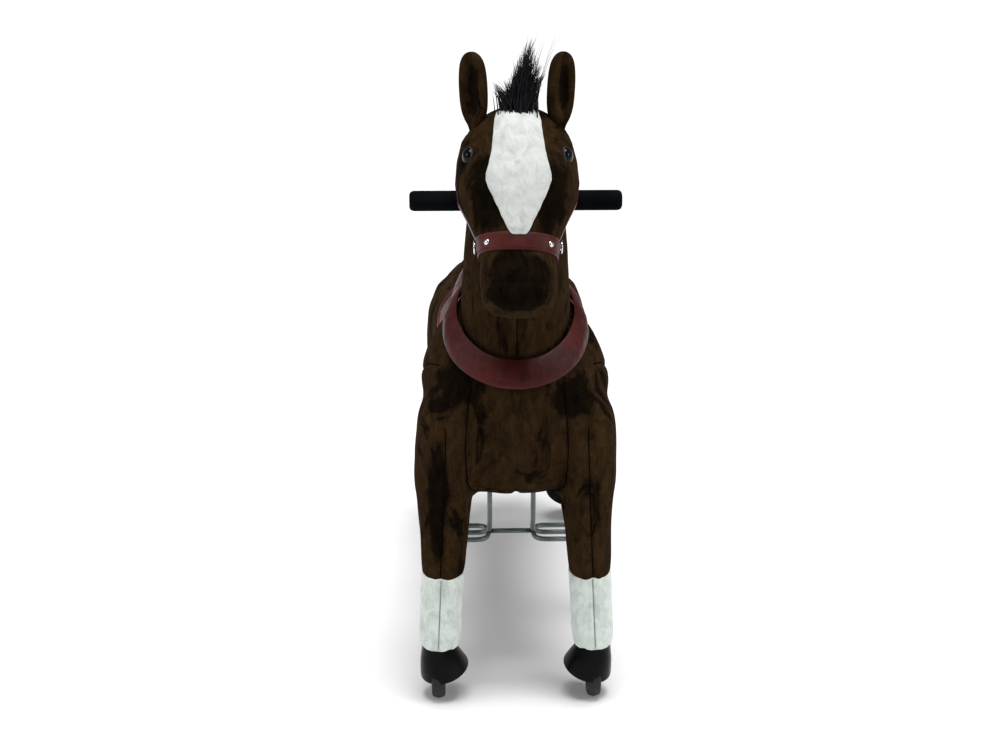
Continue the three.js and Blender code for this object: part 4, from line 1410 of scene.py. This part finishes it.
def make_skirt(tree):
    """The saddle's leather skirt, with rolled edges, over the back and down both sides."""
    along, across = 80, 130
    low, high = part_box("saddle_skirt")
    verts = []
    for i in range(along):
        t = i / (along - 1)
        for j in range(across):
            u = 2 * j / (across - 1) - 1
            corner = 1 - 0.10 * (abs(2 * t - 1) ** 6)
            angle = u * math.radians(76) * corner
            y = low.y + 4 * MM + (high.y - low.y - 8 * MM) * t
            y = y * (1 - 0.07 * abs(u) ** 5) + 0.004 * abs(u) ** 3
            hit, normal = skin_point(tree, y, angle)
            verts.append(hit + normal * 3.2 * MM)
    grid = np.array(verts).reshape(along, across, 3)
    for _ in range(4):
        grid[1:-1, 1:-1] = (grid[1:-1, 1:-1] * 2 + grid[:-2, 1:-1] + grid[2:, 1:-1]) / 4
        grid[1:-1, 1:-1] = (grid[1:-1, 1:-1] * 2 + grid[1:-1, :-2] + grid[1:-1, 2:]) / 4
    skirt = mesh_object("saddle_skirt_leather", grid.reshape(-1, 3), grid_faces(along, across))
    face_outwards(skirt)
    face_along(skirt, along // 2 * across + across // 2, (0, 0, 1))
    thicken(skirt, 2.4 * MM)
    finish(skirt, "leather", "frame", ("saddle_skirt",))
    edge = np.concatenate([grid[0], grid[1:, -1], grid[-1, -2::-1], grid[-2:0:-1, 0]])
    roll = tube("skirt_piping", edge - (0, 0, MM), 2.6 * MM, 10, True)
    finish(roll, "piping", "frame")
    for name, row in (("front", 4), ("back", -5)):
        stitches(grid[row][None], "skirt_stitching_" + name, "frame", (0,), 0.5)


# The seat's outline, in mm: y, half width, top of the middle, top of the edge.
SEAT = [
    (-122, 40, 574, 560),
    (-112, 66, 588, 566),
    (-90, 82, 584, 560),
    (-50, 92, 567, 548),
    (0, 96, 560, 541),
    (50, 96, 563, 543),
    (95, 90, 576, 553),
    (122, 74, 587, 566),
    (134, 46, 580, 566),
]


def make_seat(tree):
    """The padded seat: a dished cushion with a raised pommel and cantle, sewn to the skirt."""
    angle = np.arange(72) * 2 * math.pi / 72
    c, s = np.cos(angle), np.sin(angle)
    rings = []
    for y, half, top, edge in resample(SEAT, 40):
        x = half * np.sign(c) * np.abs(c) ** 0.75
        low = 505 - 0.0054 * x**2
        crown = edge + (top - edge) * np.clip(1 - (np.abs(x) / half) ** 2.2, 0, 1)
        z = np.where(s >= 0, low + (crown - low) * np.abs(s) ** 0.55, low - 4 * np.abs(s))
        rings.append(np.stack([x, np.full(72, y), z], 1) * MM)
    seat = melt("saddle_seat_leather", [loft("seat", rings)], 5 * MM, 3, False)
    inflate(seat, 3.0, 7 * MM)
    subdivide(seat)
    bake(seat)
    co, normals = points_of(seat), normals_of(seat)
    x, y, z = co[:, 0], co[:, 1], co[:, 2]
    top = normals[:, 2] > 0.2
    inner = np.hypot(x / 0.058, (y - 0.004) / 0.088) - 1
    quilting = groove(inner * 0.06, 3 * MM) * top
    across = sum(groove(y - q, 3 * MM) for q in (-0.045, 0.0, 0.045)) * (inner < 0) * top
    push = -(quilting * 3.2 + across * 2.4) * MM + smooth_noise(co, 30, 14) * 0.6 * MM
    set_points(seat, co + normals * push[:, None])
    finish(seat, "leather", "frame", ("saddle_pad",))
    rim = []
    for i in range(160):
        angle = 2 * math.pi * i / 160
        px = 0.096 * np.sign(math.cos(angle)) * abs(math.cos(angle)) ** 0.72
        py = 0.006 + 0.128 * np.sign(math.sin(angle)) * abs(math.sin(angle)) ** 0.8
        hit, normal = cast(tree, (px, py, 0.7), (0, 0, -1))
        rim.append(hit + normal * 6.5 * MM)
    roll = tube("seat_piping", rim, 3.2 * MM, 10, True)
    finish(roll, "piping", "frame")


def inflate(obj, pressure, limit):
    """Cloth under pressure, applied, with no point moved further than limit."""
    before = points_of(obj)
    cloth = obj.modifiers.new("cloth", "CLOTH")
    settings = cloth.settings
    settings.use_pressure = True
    settings.uniform_pressure_force = pressure
    settings.tension_stiffness = 25
    settings.compression_stiffness = 25
    settings.bending_stiffness = 1.5
    settings.effector_weights.gravity = 0
    scene = bpy.context.scene
    for step in range(1, 21):
        scene.frame_set(step)
    bake(obj)
    scene.frame_set(1)
    moved = points_of(obj) - before
    length = np.linalg.norm(moved, axis=1, keepdims=True)
    scale = np.minimum(1, limit / np.maximum(length, 1e-9))
    set_points(obj, before + moved * scale)


# ---- Handlebar, footrest, hooves and wheels ----
def make_grips():
    """Soft foam sleeves over the ends of the bar, closed and rounded at the outside."""
    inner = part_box("grip_left")[0].x / MM
    end = BAR_HALF / MM
    radius = GRIP_R / MM
    profile = [
        (10.9, inner),
        (radius - 1.5, inner),
        (radius, inner + 1.5),
        (radius, end - 7),
        (radius - 0.8, end - 3.4),
        (radius - 2.6, end - 1.2),
        (radius - 5, end - 0.2),
        (0, end),
        (0, end - 5),
        (10.9, end - 5),
    ]
    turn = Matrix.Translation((0, STEER.y, BAR_Z)) @ Matrix.Rotation(math.radians(90), 4, "Y")
    grip = lathe("grip_foam_left", profile, turn, 72)
    right = mirrored(grip, "grip_foam_right")
    for piece, (_, label) in zip((grip, right), SIDES):
        finish(piece, "foam", "steering", ("grip_" + label,))


def rounded_path(corners, radius, steps=8):
    """Points along straight runs whose corners are bent to a radius."""
    corners = [Vector(c) for c in corners]
    path = [corners[0]]
    for before, corner, after in zip(corners, corners[1:], corners[2:]):
        a = (before - corner).normalized()
        b = (after - corner).normalized()
        half = a.angle(b) / 2
        reach = min(radius / math.tan(half), (before - corner).length * 0.49, (after - corner).length * 0.49)
        for k in range(steps + 1):
            t = k / steps
            p0, p2 = corner + a * reach, corner + b * reach
            path.append(p0.lerp(corner, t).lerp(corner.lerp(p2, t), t))
    path.append(corners[-1])
    return path


def make_footrest():
    """The hanging wire footrest: two uprights, a cross rod and a three-rod pedal on each side."""
    low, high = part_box("footrest")
    wire = 4 * MM
    front, rear = low.y + 5 * MM, high.y - 4 * MM
    middle = (front + rear) / 2
    floor_z = low.z + wire
    rod_x, outer = 34.5 * MM, high.x - wire
    pieces = []
    for side in (1, -1):
        upright = [
            (side * rod_x, front, high.z),
            (side * rod_x, front, floor_z + 34 * MM),
            (side * rod_x, middle, floor_z),
            (side * outer, middle, floor_z),
        ]
        pieces.append(tube("upright", rounded_path(upright, 24 * MM), wire, 16))
        loop = [
            (side * (rod_x + 60 * MM), front, floor_z),
            (side * outer, front, floor_z),
            (side * outer, rear, floor_z),
            (side * (rod_x + 2 * MM), rear, floor_z),
            (side * (rod_x + 2 * MM), front, floor_z),
            (side * (rod_x + 62 * MM), front, floor_z),
        ]
        pieces.append(tube("pedal", rounded_path(loop, 22 * MM), wire, 16))
        pieces.append(weld_bead((side * outer, middle, floor_z)))
        pieces.append(weld_bead((side * (rod_x + 2 * MM), middle, floor_z + MM)))
    cross = [(-rod_x, middle, floor_z + 3 * MM), (rod_x, middle, floor_z + 3 * MM)]
    pieces.append(tube("cross", cross, wire * 0.98, 16))
    pin_z = JOINT["front_link_pivot"]["pos_m"][2]
    pieces.append(tube("pin", [(-rod_x, front, pin_z), (rod_x, front, pin_z)], 5 * MM, 16))
    wirework = join("footrest_wire", pieces)
    finish(wirework, "grey", "footrest_body", ("footrest",))


def weld_bead(place):
    profile = [(0, -4.6), (3.4, -3.4), (4.9, 0), (3.4, 3.4), (0, 4.6)]
    return lathe("bead", profile, Matrix.Translation(place), 16)


# Where a hoof sits from its ankle, in mm, and how it leans, in degrees.
HOOF_OUT = -6
HOOF_BACK = 16
HOOF_Z = 44
HOOF_TILT_BACK = 14
HOOF_TILT_IN = 15


def make_hooves():
    """Glossy flared hooves, hollow under the rim."""
    outside = [(20, 62), (20.4, 57), (21.5, 50), (24.2, 42), (27.6, 33), (30.6, 24), (33.2, 15), (35.2, 7)]
    rim = [(36.4, 2.4), (36.6, 0.6), (35.6, -0.2), (34.4, 0.6), (33.6, 4)]
    inside = [(30, 16), (25.6, 34), (16, 47.6), (0, 48), (0, 62)]
    profile = resample(outside, 24).tolist() + rim + inside
    for end in ("front", "rear"):
        ankle = ANKLE[end]
        inwards = Matrix.Rotation(math.radians(HOOF_TILT_IN), 4, "Y")
        backwards = Matrix.Rotation(math.radians(HOOF_TILT_BACK), 4, "X")
        spot = (ankle.x + HOOF_OUT * MM, ankle.y + HOOF_BACK * MM, HOOF_Z * MM)
        place = Matrix.Translation(spot) @ inwards @ backwards
        hoof = lathe(end + "_hoof_shell_left", profile, place, 72)
        right = mirrored(hoof, end + "_hoof_shell_right")
        for piece, (_, label) in zip((hoof, right), SIDES):
            body = "front_foot_" + label if end == "front" else "rear_legs"
            finish(piece, "hoof", body, (f"{end}_hoof_{label}",))


def make_wheels():
    """Tyres with a raised centre rib, on spoked hubs."""
    radius, half = WHEEL_R / MM, WHEEL_WIDTH / MM / 2
    tread = [
        (23, -half + 0.6),
        (radius - 6, -half),
        (radius - 3.2, -half + 0.8),
        (radius - 1.3, -half + 2.8),
        (radius - 0.7, -3.2),
        (radius - 0.1, -1.9),
        (radius, -1.2),
        (radius, 1.2),
        (radius - 0.1, 1.9),
        (radius - 0.7, 3.2),
        (radius - 1.3, half - 2.8),
        (radius - 3.2, half - 0.8),
        (radius - 6, half),
        (23, half - 0.6),
    ]
    for label, centre in WHEELS.items():
        end, side = label.split("_")
        body = f"{end}_wheel_{side}"
        place = Matrix.Translation(centre) @ Matrix.Rotation(math.radians(90), 4, "Y")
        tyre = lathe(label + "_tyre_ribbed", tread, place, 72)
        finish(tyre, "tyre", body, (f"{end}_tyre_{side}",))
        rim = [(23, -9), (23, 9), (20.6, 9), (19.6, 7.5), (19.6, -7.5), (20.6, -9)]
        hub = [(4.4, -11), (4.4, 11), (8, 11), (9, 10), (9, -10), (8, -11)]
        disc = [(8.6, -1.5), (8.6, 1.5), (20, 1.5), (20, -1.5)]
        pieces = [lathe("ring", shape, place, 56) for shape in (rim, hub, disc)]
        for k in range(6):
            blade = tube("spoke", [(8.4 * MM, 0, 0), (19.9 * MM, 0, 0)], 2.6 * MM, 8)
            blade.data.transform(place @ Matrix.Rotation(math.radians(60 * k), 4, "Z"))
            pieces.append(blade)
        spoked = join(label + "_hub_spoked", pieces)
        finish(spoked, "hub", body, (f"{end}_wheel_hub_{side}",))


def dress_cad_nodes():
    """Materials for the CAD nodes that show as they are."""
    for name, node in frame["nodes"].items():
        if node.hide_render:
            continue
        key = "grey" if name == "handlebar" else "steel"
        node.data.materials.clear()
        node.data.materials.append(MATERIALS[key])


make_stage()
skin = make_body()
make_body_seams(skin)
make_socks()
face = make_head()
make_blaze(face)
make_rivets(make_noseband())
make_cheek_straps()
make_eyes(face)
make_ears()
make_forelock()
make_mane()
make_tail()
make_collar()
make_skirt(skin)
make_seat(skin)
make_grips()
make_footrest()
make_hooves()
make_wheels()
dress_cad_nodes()
